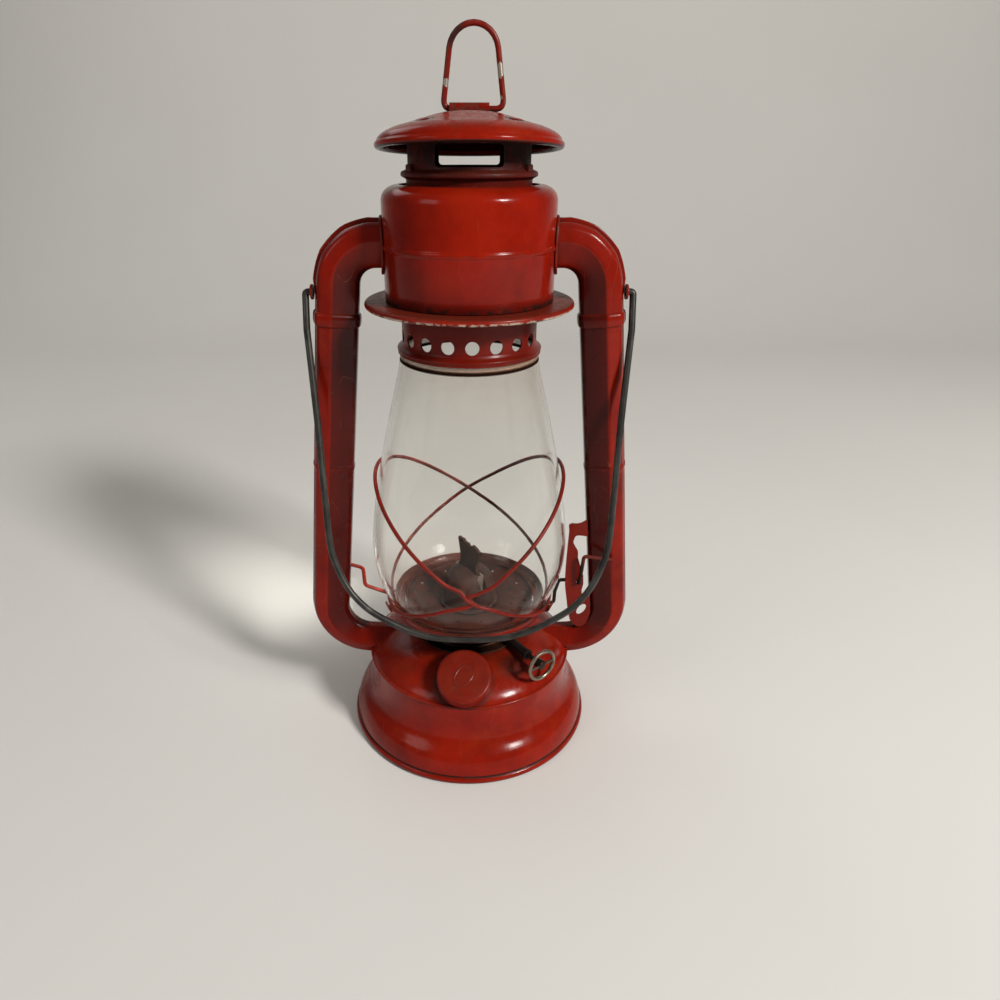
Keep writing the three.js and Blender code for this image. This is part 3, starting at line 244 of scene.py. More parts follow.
def extruded(outline, low, high, place):
    """A solid between two copies of the outline, laid by place(point, depth)."""
    places = [place(p, depth) * MM for depth in (low, high) for p in outline]
    count = len(outline)
    faces = [tuple(range(count)), tuple(range(2 * count - 1, count - 1, -1))]
    faces += [(j, (j + 1) % count, count + (j + 1) % count, count + j) for j in range(count)]
    return mesh_of(places, faces)


def block(low, high):
    outline = points(low[:2], (high[0], low[1]), high[:2], (low[0], high[1]))
    return extruded(outline, low[2], high[2], lambda p, z: Vector((p.x, p.y, z)))


def added(name, data):
    """A new object in the scene."""
    holder = bpy.data.objects.new(name, data)
    bpy.context.scene.collection.objects.link(holder)
    return holder


def taken(holder, *helpers):
    """The mesh that an object shows. The object and its helpers go."""
    bpy.context.view_layer.update()
    made = bpy.data.meshes.new_from_object(holder.evaluated_get(bpy.context.evaluated_depsgraph_get()))
    for used in (holder, *helpers):
        bpy.data.objects.remove(used)
    return made


def plate(thickness, *outlines):
    """A flat plate in the XZ plane with its middle at y = 0, from its outline and its holes."""
    curve = bpy.data.curves.new("plate", "CURVE")
    curve.dimensions = "2D"
    curve.fill_mode = "BOTH"
    curve.extrude = thickness / 2 * MM
    curve.bevel_depth = BEVEL * MM
    curve.offset = -BEVEL * MM
    for loop in outlines:
        line = curve.splines.new("POLY")
        line.points.add(len(loop) - 1)
        for point, p in zip(line.points, loop):
            point.co = (p[0] * MM, p[1] * MM, 0, 1)
        line.use_cyclic_u = True
    return placed(taken(added("plate", curve)), rotation(90, "X"))


def joined(*meshes):
    work = bmesh.new()
    for mesh in meshes:
        work.from_mesh(mesh)
    made = bpy.data.meshes.new("piece")
    work.to_mesh(made)
    work.free()
    return made


def cut(mesh, *cutters):
    """The mesh with the cutters' shapes taken out of it."""
    whole, tool = added("whole", mesh), added("tool", joined(*cutters))
    change = whole.modifiers.new("cut", "BOOLEAN")
    change.operation = "DIFFERENCE"
    change.solver = "EXACT"
    change.object = tool
    return taken(whole, tool)


def shift(x, y, z):
    return Matrix.Translation(Vector((x, y, z)) * MM)


def rotation(degrees, axis):
    return Matrix.Rotation(math.radians(degrees), 4, axis)


def placed(mesh, matrix):
    mesh.transform(matrix)
    return mesh


def mirrored(mesh):
    made = placed(mesh.copy(), Matrix.Scale(-1, 4, X_AXIS))
    made.flip_normals()
    return made


def show(name, mesh, material, *nodes, body="frame", slot="red_paint"):
    """Adds a piece that stands for the nodes."""
    mesh.name = name
    for face in mesh.polygons:
        face.use_smooth = True
    mesh.set_sharp_from_angle(angle=SHARP_ANGLE)
    mesh.materials.clear()
    mesh.materials.append(material)
    piece = added(name, mesh)
    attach(piece, body)
    if nodes:
        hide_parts(*nodes)
    return piece


def show_pair(name, mesh, material, node):
    """Adds a piece on the right and its mirror image on the left."""
    show(f"right_{name}", mesh, material, f"right_{node}")
    show(f"left_{name}", mirrored(mesh), material, f"left_{node}")


# Materials


class Shader:
    """A material under construction, with every length in millimetres."""

    def __init__(self, name, seed=0.0):
        self.seed = seed
        self.material = bpy.data.materials.new(name)
        self.material.use_nodes = True
        self.tree = self.material.node_tree
        self.tree.nodes.clear()
        self.bsdf = self.add("ShaderNodeBsdfPrincipled")
        self.out = self.add("ShaderNodeOutputMaterial", {0: self.bsdf.outputs[0]})
        self.coords = self.add("ShaderNodeTexCoord").outputs

    def put(self, socket, value):
        if isinstance(value, bpy.types.NodeSocket):
            self.tree.links.new(value, socket)
        else:
            socket.default_value = value

    def add(self, kind, values=(), **settings):
        made = self.tree.nodes.new(kind)
        for key, value in settings.items():
            setattr(made, key, value)
        for key, value in dict(values).items():
            self.put(made.inputs[key], value)
        return made

    def set(self, **values):
        for key, value in values.items():
            self.put(self.bsdf.inputs[key.replace("_", " ")], value)

    def noise(self, size, detail, rough, variant=0, stretch=(1, 1, 1)):
        """Noise whose features are about size across."""
        seed = self.seed + variant
        mapping = self.add("ShaderNodeMapping", {"Vector": self.coords["Object"], "Scale": stretch,
                                                 "Location": (seed, seed * 0.7, seed * 0.3)})
        return self.add("ShaderNodeTexNoise", {"Vector": mapping.outputs[0], "Scale": 1 / (size * MM),
                                               "Detail": detail, "Roughness": rough}).outputs["Fac"]

    def span(self, value, low, high, start=0.0, end=1.0):
        """The value's way from low to high as one from start to end, clamped."""
        ends = {"Value": value, "From Min": low, "From Max": high, "To Min": start, "To Max": end}
        return self.add("ShaderNodeMapRange", ends, clamp=True).outputs[0]

    def math(self, operation, a, b=0.0):
        return self.add("ShaderNodeMath", {0: a, 1: b}, operation=operation).outputs[0]

    def vector_math(self, operation, a, b):
        return self.add("ShaderNodeVectorMath", {0: a, 1: b}, operation=operation).outputs

    def sum(self, a, b):
        return self.math("ADD", a, b)

    def away(self, a, b):
        return self.math("ABSOLUTE", self.math("SUBTRACT", a, b))

    def both(self, *values):
        return reduce(lambda a, b: self.math("MULTIPLY", a, b), values)

    def either(self, *values):
        return reduce(lambda a, b: self.math("MAXIMUM", a, b), values)

    def mix(self, share, a, b):
        return self.add("ShaderNodeMix", {0: share, 6: a, 7: b}, data_type="RGBA").outputs[2]

    def blend(self, share, a, b):
        return self.add("ShaderNodeMix", {0: share, 2: a, 3: b}, data_type="FLOAT").outputs[0]

    def part(self, source, axis):
        """One component of the object's own place or normal."""
        return self.add("ShaderNodeSeparateXYZ", {0: self.coords[source]}).outputs[axis]

    def height(self, low, high):
        """Nothing up to one height and one from another, or the other way round."""
        return self.span(self.part("Object", 2), low * MM, high * MM)

    def band(self, centre, half_width):
        """One near a height, and nothing away from it."""
        return self.span(self.away(self.part("Object", 2), centre * MM), half_width * MM, 0)

    def near(self, place, inner_reach, outer_reach):
        """One round a place, fading out between two distances."""
        away = self.vector_math("DISTANCE", self.coords["Object"], tuple(Vector(place) * MM))["Value"]
        return self.span(away, outer_reach * MM, inner_reach * MM)

    def facing_up(self):
        return self.span(self.part("Normal", 2), 0.35, 0.95)

    def facing_down(self):
        return self.span(self.part("Normal", 2), -0.15, -0.6)

    def facing_in(self):
        """One on what looks towards the object's axis along X."""
        side = self.math("SIGN", self.part("Object", 0))
        return self.span(self.both(self.part("Normal", 0), side), -0.12, -0.36)

    def inside(self):
        """One on the inner wall of a turned piece."""
        radial = self.vector_math("MULTIPLY", self.coords["Object"], (1, 1, 0))[0]
        return self.span(self.vector_math("DOT_PRODUCT", radial, self.coords["Normal"])["Value"], 0.0, -0.004)

    def ovals(self, ring, half_width, half_length):
        """A thin line round four ovals that lie on a ring, at the diagonals."""
        x, y = (self.math("ABSOLUTE", self.part("Object", axis)) for axis in (0, 1))
        diagonal = MM * math.sqrt(2)
        out = self.math("SUBTRACT", self.sum(x, y), ring * diagonal)
        out = self.math("DIVIDE", out, half_width * diagonal)
        across = self.math("DIVIDE", self.math("SUBTRACT", x, y), half_length * diagonal)
        distance = self.math("SQRT", self.sum(self.both(out, out), self.both(across, across)))
        return self.span(self.away(distance, 1.05), 0.4, 0.18)

    def corners(self, reach):
        """One deep in a corner, and nothing in the open, from occlusion within a reach."""
        occlusion = self.add("ShaderNodeAmbientOcclusion", {"Distance": reach * MM}, samples=6)
        return self.span(occlusion.outputs["AO"], 0.75, 0.3)

    def edges(self):
        return self.span(self.add("ShaderNodeNewGeometry").outputs["Pointiness"], 0.53, 0.6)

    def bump(self, height, distance, strength):
        made = self.add("ShaderNodeBump", {"Height": height, "Distance": distance * MM, "Strength": strength})
        self.set(Normal=made.outputs[0])


def rgb(red, green, blue):
    """A colour from its 0 to 255 screen values."""
    shares = [v / 255 for v in (red, green, blue)]
    return (*(v / 12.92 if v <= 0.04045 else ((v + 0.055) / 1.055) ** 2.4 for v in shares), 1.0)


PAINT = rgb(146, 25, 6)
PAINT_DEEP = rgb(114, 14, 3)
PAINT_FADED = rgb(156, 54, 22)
# Painted shade: a shaded copy of the paint for faces that look inward.
PAINT_SHADED = rgb(58, 9, 6)
SCRATCH = rgb(176, 90, 66)
DUST = rgb(96, 52, 32)
RUST = rgb(84, 40, 24)
BARE_DARK = rgb(52, 38, 33)
PRIMER = rgb(206, 190, 172)
BRIGHT = rgb(186, 178, 166)
# Dark colour for grime streaks and stains, also used to paint shade into corners, creases and bands.
GRIME_AND_SHADE = rgb(36, 15, 11)
# Dark colour for soot, also used to paint shade onto parts that sit in shade.
SOOT_AND_SHADE = rgb(30, 13, 10)


def paint(name, wear=0.5, dust=0.35, pale_bands=(), dark_bands=(), grime_and_shade_bands=(), faded=0.3, bare=BARE_DARK,
          shine=0.0, gloss=0.14, streaks=0.18, stain=0.25, near=(), inner=0.0, soot_and_shade=0.0, soot_and_shade_inside=0.0,
          soot_and_shade_below=0.0, flakes=0.0, dirt_and_shade_rings=None, spots=(), level=0.16, seed=0.0):
    """Old enamel: faded patches, chips to bare metal, scratches, grime with painted shade in corners, and dust
    on what faces up.
    """
    s = Shader(name, seed)
    cloud = s.noise(38, 5, 0.6)
    fine = s.noise(3.2, 6, 0.65, 3)
    speck = s.noise(1.5, 5, 0.7, 5)
    colour = s.mix(s.span(cloud, 0.34, 0.62), PAINT_DEEP, PAINT)
    patches = s.span(s.noise(16, 5, 0.62, 11), 0.5, 0.75)
    colour = s.mix(s.both(patches, faded), colour, PAINT_FADED)
    streak = s.span(s.noise(7, 5, 0.6, 13, (1, 1, 0.09)), 0.5, 0.72)
    colour = s.mix(s.both(streak, streaks), colour, GRIME_AND_SHADE)
    # Painted shade: faces that look towards the axis darken to the shaded copy of the paint.
    if inner:
        colour = s.mix(s.both(s.facing_in(), inner), colour, PAINT_SHADED)
    # Soot and painted shade: mottled darkening overall, on inner walls and on faces that look down.
    for amount, where in ((soot_and_shade, None), (soot_and_shade_inside, s.inside), (soot_and_shade_below, s.facing_down)):
        if amount:
            share = s.both(s.span(cloud, 0.3, 0.6, 0.75, 1.0), amount)
            colour = s.mix(s.both(share, where()) if where else share, colour, SOOT_AND_SHADE)

    stains = s.both(s.span(s.noise(9, 6, 0.7, 2), 0.54, 0.72), stain)
    # Painted shade: occlusion darkens corners and crevices; real stains join the same dark mask.
    dirt_and_shade = s.either(s.both(s.corners(5.0), s.span(fine, 0.2, 0.6, 0.55, 1.0), 0.85), stains)
    # Dark patches round given places: painted shadows and shade on the dome and fount, a dark patch on the lift
    # ring.
    for *where, strength in near:
        dirt_and_shade = s.either(dirt_and_shade, s.both(s.near(*where), s.span(fine, 0.2, 0.6, 0.6, 1.0), strength))
    # Dark bands at given heights: real grime on the barrel and brim, painted shade on the crown, collar and
    # fount creases.
    for *where, strength in grime_and_shade_bands:
        cloudy = s.span(s.sum(s.both(fine, 0.5), s.both(cloud, 0.5)), 0.38, 0.58, 0.25, 1.0)
        dirt_and_shade = s.either(dirt_and_shade, s.both(s.band(*where), cloudy, strength))
    colour = s.mix(dirt_and_shade, colour, GRIME_AND_SHADE)
    settled = s.both(s.facing_up(), s.span(fine, 0.32, 0.62, 0.25, 1.0), s.span(cloud, 0.28, 0.6, 0.35, 1.0),
                     dust)
    colour = s.mix(settled, colour, DUST)
    # Dirt and painted shade: dark rings round the hood's four bosses.
    if dirt_and_shade_rings:
        colour = s.mix(s.both(s.ovals(*dirt_and_shade_rings), s.span(fine, 0.3, 0.5, 0.75, 1.0)), colour, rgb(24, 9, 7))

    edge = s.both(s.edges(), s.span(fine, 0.42, 0.56))
    for where in dark_bands:
        edge = s.either(edge, s.both(s.band(*where), s.span(fine, 0.5, 0.58)))
    chips = s.span(speck, 0.73 - 0.04 * wear, 0.755 - 0.04 * wear)
    chips = s.either(chips, s.both(edge, min(1.0, 0.5 + wear)))
    if flakes:
        flaked = s.noise(7, 5, 0.6, 23)
        chips = s.either(chips, s.span(flaked, 0.7 - 0.1 * flakes, 0.715 - 0.1 * flakes))
    for where in spots:
        chips = s.either(chips, s.span(s.sum(s.near(*where), s.span(speck, 0.3, 0.7, -0.35, 0.35)), 0.45, 0.55))
    colour = s.mix(s.both(chips, 0.85), colour, s.mix(s.span(fine, 0.4, 0.6), bare, bare if shine else RUST))
    worn = chips
    for where in pale_bands:
        pale = s.both(s.band(*where), s.span(fine, 0.46, 0.55))
        colour = s.mix(pale, colour, PRIMER)
        worn = s.either(worn, pale)
    hair = s.span(s.away(s.noise(22, 2, 0.5, 17, (1, 1, 0.5)), 0.5), 0.0035, 0.001)
    hair = s.both(hair, s.span(s.noise(14, 3, 0.6, 19), 0.52, 0.62), min(1.0, 0.3 + wear))
    colour = s.mix(s.both(hair, 0.3), colour, SCRATCH)

    rough = s.blend(s.span(fine, 0.35, 0.7), gloss, gloss + 0.1)
    rough = s.blend(s.both(s.either(dirt_and_shade, s.span(settled, 0.05, 0.5)), 0.9), rough, 0.6)
    rough = s.blend(worn, rough, 0.4 if shine else 0.75)
    s.set(Base_Color=colour, Roughness=rough, Metallic=s.both(chips, shine) if shine else 0.0,
          Specular_IOR_Level=level, Coat_Weight=level / 4, Coat_Roughness=0.1)
    ripple = s.sum(s.both(cloud, 0.9), s.both(fine, 0.05))
    s.bump(s.math("SUBTRACT", ripple, s.both(worn, 0.25)), 0.3, 0.5)
    return s.material


def metal(name, colour, dull, rust, rough, metallic=0.9, seed=0.0, near=()):
    """Old bare or plated metal with dull patches, fine scratches, some rust, and painted shade in corners and
    round given places.
    """
    s = Shader(name, seed)
    cloud = s.noise(12, 5, 0.6)
    fine = s.noise(2.2, 6, 0.7, 2)
    streak = s.noise(6, 4, 0.6, 4, (1, 1, 0.12))
    patches = s.span(cloud, 0.4, 0.62)
    found = s.mix(patches, colour, dull)
    found = s.mix(s.both(s.span(streak, 0.5, 0.7), 0.5), found, dull)
    rusty = s.both(s.span(fine, 0.58, 0.68), s.span(cloud, 0.45, 0.6), rust)
    found = s.mix(rusty, found, RUST)
    # Painted shade: occlusion darkens corners nearly to black.
    found = s.mix(s.both(s.corners(6.0), 0.95), found, rgb(14, 11, 10))
    # Painted shade round given places, such as the shaded left of the gallery ring.
    for *where, strength in near:
        found = s.mix(s.both(s.near(*where), strength), found, rgb(10, 7, 6))
    lighter = tuple(min(1.0, 1.5 * c) for c in colour[:3]) + (1.0,)
    found = s.mix(s.both(s.edges(), 0.6), found, lighter)
    s.set(Base_Color=found, Metallic=s.blend(rusty, metallic, 0.1),
          Roughness=s.blend(s.either(patches, rusty), *rough))
    s.bump(s.sum(s.both(fine, 0.5), cloud), 0.12, 0.5)
    return s.material


def sooty(name, colour, dusty, mottle=0.5, rusty_above=None, seed=0.0):
    """Blackened steel under a film of soot and dust, mottled where it got hot."""
    s = Shader(name, seed)
    fine = s.noise(1.8, 6, 0.7)
    cloud = s.noise(8, 5, 0.65, 2)
    blots = s.span(s.noise(5, 4, 0.6, 6), 0.54, 0.66)
    found = s.mix(s.span(cloud, 0.36, 0.62), colour, dusty)
    found = s.mix(s.both(s.span(fine, 0.55, 0.7), 0.5), found, RUST)
    found = s.mix(s.both(blots, mottle), found, rgb(26, 19, 17))
    # Painted shade: occlusion darkens the corners.
    found = s.mix(s.both(s.corners(4.0), 0.8), found, rgb(16, 13, 12))
    if rusty_above:
        high = s.height(rusty_above - 0.5, rusty_above + 1.5)
        found = s.mix(s.both(high, s.span(fine, 0.35, 0.6, 0.5, 1.0)), found, rgb(104, 34, 22))
    s.set(Base_Color=found, Metallic=s.span(fine, 0.4, 0.6, 0.0, 0.15), Specular_IOR_Level=0.2,
          Roughness=s.span(cloud, 0.3, 0.7, 0.45, 0.8))
    s.bump(s.sum(fine, cloud), 0.15, 0.6)
    return s.material


def glass(name):
    """Clear blown glass, with dust low and high on the globe and a painted shadow line under the collar."""
    s = Shader(name)
    fine = s.noise(5, 6, 0.7, 4)
    cloud = s.noise(30, 4, 0.6, 9)
    dust_and_shadow = s.either(s.both(s.height(110, 84), 0.05), s.both(s.height(190, 226), 0.12), 0.008)
    dust_and_shadow = s.both(dust_and_shadow, s.span(fine, 0.2, 0.75, 0.5, 1.0), s.span(cloud, 0.25, 0.7, 0.6, 1.0))
    # Painted shadow: a dark line just under the collar's lip.
    line = s.span(s.band(224.1, 1.2), 0.1, 0.5)
    dust_and_shadow = s.either(dust_and_shadow, s.both(s.height(224.9, 225.3), 0.5), line)
    s.set(Base_Color=rgb(253, 253, 251), Transmission_Weight=1.0, IOR=1.25,
          Roughness=s.span(fine, 0.3, 0.7, 0.0, 0.05))
    s.bump(cloud, 0.3, 0.25)
    dust_and_shadow_colour = s.mix(line, rgb(150, 112, 88), rgb(30, 17, 13))
    film = s.add("ShaderNodeBsdfDiffuse", {"Color": dust_and_shadow_colour})
    dusted = s.add("ShaderNodeMixShader", {0: dust_and_shadow, 1: s.bsdf.outputs[0], 2: film.outputs[0]})
    clear = s.add("ShaderNodeBsdfTransparent", {"Color": (0.95, 0.95, 0.94, 1)})
    rays = s.add("ShaderNodeLightPath").outputs["Is Shadow Ray"]
    whole = s.add("ShaderNodeMixShader", {0: rays, 1: dusted.outputs[0], 2: clear.outputs[0]})
    s.put(s.out.inputs[0], whole.outputs[0])
    return s.material


def charred(name):
    """Woven cotton tape, burnt at its upper end."""
    s = Shader(name)
    weave = {"Vector": s.coords["Object"], "Distortion": 1.5}
    along = s.add("ShaderNodeTexWave", {**weave, "Scale": 420.0, "Detail": 2.0}, bands_direction="Z")
    across = s.add("ShaderNodeTexWave", {**weave, "Scale": 380.0})
    fine = s.noise(1.2, 5, 0.7)
    threads = s.both(along.outputs["Fac"], across.outputs["Fac"])
    cloth = s.mix(threads, rgb(120, 92, 62), rgb(190, 164, 124))
    ash = s.mix(s.span(fine, 0.45, 0.62), rgb(26, 17, 13), rgb(72, 46, 33))
    s.set(Base_Color=s.mix(s.height(86, 94), cloth, ash), Roughness=0.95, Specular_IOR_Level=0.1)
    s.bump(s.sum(threads, fine), 0.3, 0.7)
    return s.material


def seal(name):
    s = Shader(name)
    fine = s.noise(1.4, 5, 0.7)
    s.set(Base_Color=s.mix(s.span(fine, 0.4, 0.65), rgb(34, 30, 28), rgb(66, 58, 52)),
          Roughness=s.span(fine, 0.3, 0.7, 0.75, 0.95))
    s.bump(fine, 0.15, 0.6)
    return s.material


# Painted shade in the creases at the seam and under the ridge, and on the fount's left.
BODY_PAINT = paint("fount_paint", wear=0.3, dust=0.12, dark_bands=[(4.4, 0.5)], stain=0.12, streaks=0.08,
                   grime_and_shade_bands=[(44.0, 1.0, 1.3), (4.6, 0.8, 2.2)],
                   near=[((-58, -14, 20), 4, 40, 0.2)], seed=1.0)
# Painted shadows under the globe plate, of the cap and of the winder ring, and painted shade on the dome's
# left.
DOME_PAINT = paint("dome_paint", wear=0.3, dust=0.22, near=[
    ((0, 0, 59), 28, 40, 0.85), ((-3.5, -47.8, 52.5), 14.6, 18.5, 0.95), ((25, -37, 57), 5, 12, 0.8),
    ((-44, -20, 56), 4, 28, 0.4)], seed=2.0)
# Painted shade on the faces that look inward, with soot and shade darkening overall.
TUBE_PAINT = paint("tube_paint", wear=0.45, dust=0.12, gloss=0.18, inner=0.9, soot_and_shade=0.15, stain=0.3, seed=3.0)
# The overall darkening paints the bracket's shade.
BRACKET_PAINT = paint("bracket_paint", dust=0.1, gloss=0.28, soot_and_shade=0.4, seed=14.0)
FITTING_PAINT = paint("fitting_paint", dust=0.1, gloss=0.25, soot_and_shade=0.15, seed=13.0)
BARREL_PAINT = paint("barrel_paint", wear=0.35, dust=0.1, dark_bands=[(277.6, 0.5)], streaks=0.1, stain=0.15,
                     grime_and_shade_bands=[(253.5, 4.5, 1.4)], faded=0.12, seed=4.0)
# Painted shade on the brim's underside.
BRIM_PAINT = paint("brim_paint", wear=0.7, dust=0.5, pale_bands=[(250.4, 0.9)], soot_and_shade_below=0.6, gloss=0.3,
                   grime_and_shade_bands=[(253.4, 1.9, 1.1)], seed=5.0)
# Soot and painted shade inside the collar, painted shade on its band below the brim.
COLLAR_PAINT = paint("collar_paint", wear=0.4, dust=0.15, dark_bands=[(228.4, 0.6)], soot_and_shade_inside=0.7,
                     soot_and_shade=0.45, grime_and_shade_bands=[(250, 12, 0.6)], gloss=0.3, seed=6.0)
# The crown sits in shade under the hood: its overall darkening, inner walls and wide band paint that shade.
CROWN_PAINT = paint("crown_paint", dust=0.3, faded=0.1, soot_and_shade=0.6, soot_and_shade_inside=0.95, gloss=0.4,
                    grime_and_shade_bands=[(322, 18, 2.0)], streaks=0.8, level=0.15, seed=7.0)
# Soot and painted shade on the underside, dirt and painted shade round the bosses.
HOOD_PAINT = paint("hood_paint", dust=0.22, faded=0.4, dark_bands=[(319.4, 0.8)], soot_and_shade_below=1.0,
                   dirt_and_shade_rings=(28, 2.85, 4.6), level=0.12, seed=8.0)
STRAP_PAINT = paint("strap_paint", wear=0.7, dust=0.2, soot_and_shade=0.15, seed=15.0)
PLATE_PAINT = paint("plate_paint", wear=0.7, dust=0.2, dark_bands=[(81.8, 0.6)], soot_and_shade_inside=0.6, soot_and_shade=0.2,
                    gloss=0.3, seed=9.0)
# The overall darkening paints shade on the thin wires.
WIRE_PAINT = paint("wire_paint", wear=1.0, dust=0.1, gloss=0.36, streaks=0.5, faded=0.1, soot_and_shade=0.25, flakes=0.5,
                   level=0.2, seed=10.0)
CAP_PAINT = paint("cap_paint", wear=0.3, dust=0.3, gloss=0.3, soot_and_shade=0.25, seed=11.0)
RING_PAINT = paint("ring_paint", wear=1.2, dust=0.1, bare=BRIGHT, shine=0.85, flakes=0.3, gloss=0.3, soot_and_shade=0.35,
                   near=[((-6.5, 0, 363.5), 3, 7, 0.95)], seed=12.0,
                   spots=[((13.2, 0, 350), 1, 4.6), ((-10.3, 0, 345.5), 0.6, 2.6), ((14, 0, 339.5), 0.4, 1.6)])
BAIL_STEEL = metal("bail_steel", rgb(66, 64, 60), rgb(34, 32, 30), 0.4, (0.3, 0.5), metallic=0.45, seed=1.0)
PLATED = metal("worn_plating", rgb(168, 156, 140), rgb(96, 78, 62), 0.6, (0.22, 0.45), seed=2.0)
DARK_PLATED = metal("dark_plating", rgb(84, 68, 56), rgb(36, 28, 24), 0.6, (0.3, 0.5), seed=6.0)
# Painted shade on the gallery ring's left.
GALLERY_STEEL = metal("gallery_steel", rgb(140, 108, 84), rgb(76, 50, 38), 0.7, (0.2, 0.42), seed=5.0,
                      near=[((-14, -27, 60), 19, 29, 0.95)])
GREY_STEEL = metal("grey_steel", rgb(112, 104, 94), rgb(64, 56, 50), 0.7, (0.35, 0.6), seed=3.0)
BLACK_STEEL = sooty("black_steel", rgb(18, 14, 13), rgb(34, 26, 23), seed=1.0)
LEVER_STEEL = sooty("lever_steel", rgb(22, 17, 16), rgb(44, 32, 28), rusty_above=107.0, seed=4.0)
DECK_STEEL = sooty("deck_steel", rgb(38, 16, 11), rgb(68, 34, 25), mottle=0.9, seed=2.0)
CONE_STEEL = sooty("cone_steel", rgb(28, 14, 10), rgb(56, 30, 22), mottle=0.6, seed=3.0)
GLOBE_GLASS = glass("globe_glass")
COTTON = charred("wick_cotton")
SEAL = seal("seal_rubber")


# Fount


def fount_skirt():
    roll = arc((69.64, 2.2), 2.2, 175, 410, 20)
    roll = [p if p.y > 0.02 else Vector((p.x, 0.0)) for p in roll]
    line = points((70.1, 4.5))
    line += spline([(70.35, 5.0), (70.1, 7.4), (69.5, 10.4), (68.4, 13.4), (67.0, 15.9), (65.4, 17.8)])
    line += spline([(65.1, 18.1), (63.5, 19.9), (62.0, 22.2), (60.8, 25.2), (60.0, 28.6), (59.6, 32.5),
                    (59.5, 38), (59.5, 43.6)])
    show("fount_body", lathe(roll + line + offset(line, SHEET)[::-1]), BODY_PAINT, "fount_skirt")


def fount_top():
    line = points((59.4, 43.95)) + arc((59.6, 44.7), 0.75, -80, 75, 8)
    line += spline([(58.9, 45.6), (57.6, 47.5), (55.4, 49.8), (52.3, 52.2), (48.2, 54.6), (43.6, 56.6),
                    (39, 57.9), (35, 58.55), (31.6, 58.9), (29.4, 59.0)])
    show("fount_dome", lathe(walled(line, 0.7)), DOME_PAINT, "fount_top")


# Filler

NECK = shift(-2.8, -47.3, 53.0) @ rotation(33, "X")


def filler():
    neck = points((11.2, -13), (12.2, -13), (12.2, 0.6), (13.6, 0.2), (13.6, 0.9), (12.4, 1.4), (12.2, 7.5),
                  (11.2, 7.5))
    show("neck_of_filler", placed(lathe(neck, 64, 0.3), NECK), CAP_PAINT, "filler_neck")
    top, foot, radius, wall = 10.5, 2.0, 15.3, 1.0
    line = points((radius, foot), (radius, foot + 0.6), (radius - 0.25, foot + 5.5))
    line += arc((radius - 1.9, top - 1.7), 1.7, 8, 88, 8)
    line += points((9.0, top), (0.12, top - 0.05), (0, top - 0.05))
    cap = lathe(walled(line, wall), 96, 0.25)
    oval_width, oval_length, oval_turn = 4.2, 7.3, -37
    oval = [(oval_width * p.x, oval_length * p.y, top - 0.12) for p in circle(1, 24)]
    oval = spline(oval + oval[:1], 2)[:-1]
    rim = placed(sweep(oval, circle(0.34, 8), Z_AXIS, True), rotation(oval_turn, "Z"))
    show("cap_of_filler", placed(joined(cap, rim), NECK), CAP_PAINT, "filler_cap", body="filler_cap")


# Burner and winder

BURNER = rotation(-53.5, "Z")
SHAFT = (5.4, 62.4)


def burner():
    ring = points((25.5, 56.1), (28.9, 56.1), (28.9, 59.3), (32.4, 59.3), (32.4, 60.1), (28.9, 60.1))
    ring += arc((28.5, 62.4), 0.8, -30, 210, 8) + points((28.1, 56.9), (25.5, 56.9))
    show("gallery_ring", lathe(ring, ease=0.25), GALLERY_STEEL, "burner_gallery", slot="grey_steel")
    line = points((0, 57.2), (27.3, 57.2), (27.3, 72.0), (26.6, 73.4), (25.2, 74.0), (14.5, 74.0), (14.5, 77.0))
    drum = cut(lathe(walled(line), 96, 0.3), *rods_round(8, 0.5, 2.6, (24, 69.3), (30, 69.3), 20))
    show("burner_drum", placed(drum, BURNER), BLACK_STEEL, "burner_body", slot="black_steel")
    line = spline([(17.5, 77.35), (16.3, 77.9), (15.9, 80), (15.4, 85), (14.3, 90), (12.2, 94.5), (9.3, 97.4),
                   (5, 98.9), (0.5, 99.3)], 4)
    cone = cut(lathe(walled(line + points((0, 99.3))), 96), block((-14.4, -2.1, 86), (14.4, 2.1, 104)))
    show("burner_dome", placed(cone, BURNER), CONE_STEEL, "burner_cone", slot="black_steel")


def wick():
    """The tape, with a waist and a ragged flap above the cone."""
    outline = [(-10, 26), (-10, 96.5), (-8.4, 99.5), (-7.4, 103), (-8.4, 107.5)]
    half_width, steps = 10.3, 32
    for i in range(steps + 1):
        x = half_width * (2 * i / steps - 1)
        ragged = 2.4 * noise.noise(Vector((x * 0.3, 0.4, 2.0))) + noise.noise(Vector((x, 3.1, 0)))
        outline.append((x, 113.6 - 0.14 * x + ragged))
    outline += [(9.6, 108), (7.2, 103.5), (7.6, 99.5), (10, 96.5), (10, 26)]
    tape = plate(1.7, outline)
    for vertex in tape.vertices:
        sway = max(0, vertex.co.z / MM - 99) / 14
        wave = noise.noise(vertex.co / MM * 0.2) * min(1, sway)
        vertex.co.y += (0.3 * sway**2 + 0.25 * wave) * MM
    show("wick_tape", placed(tape, BURNER), COTTON, "wick", body="wick", slot="cotton")


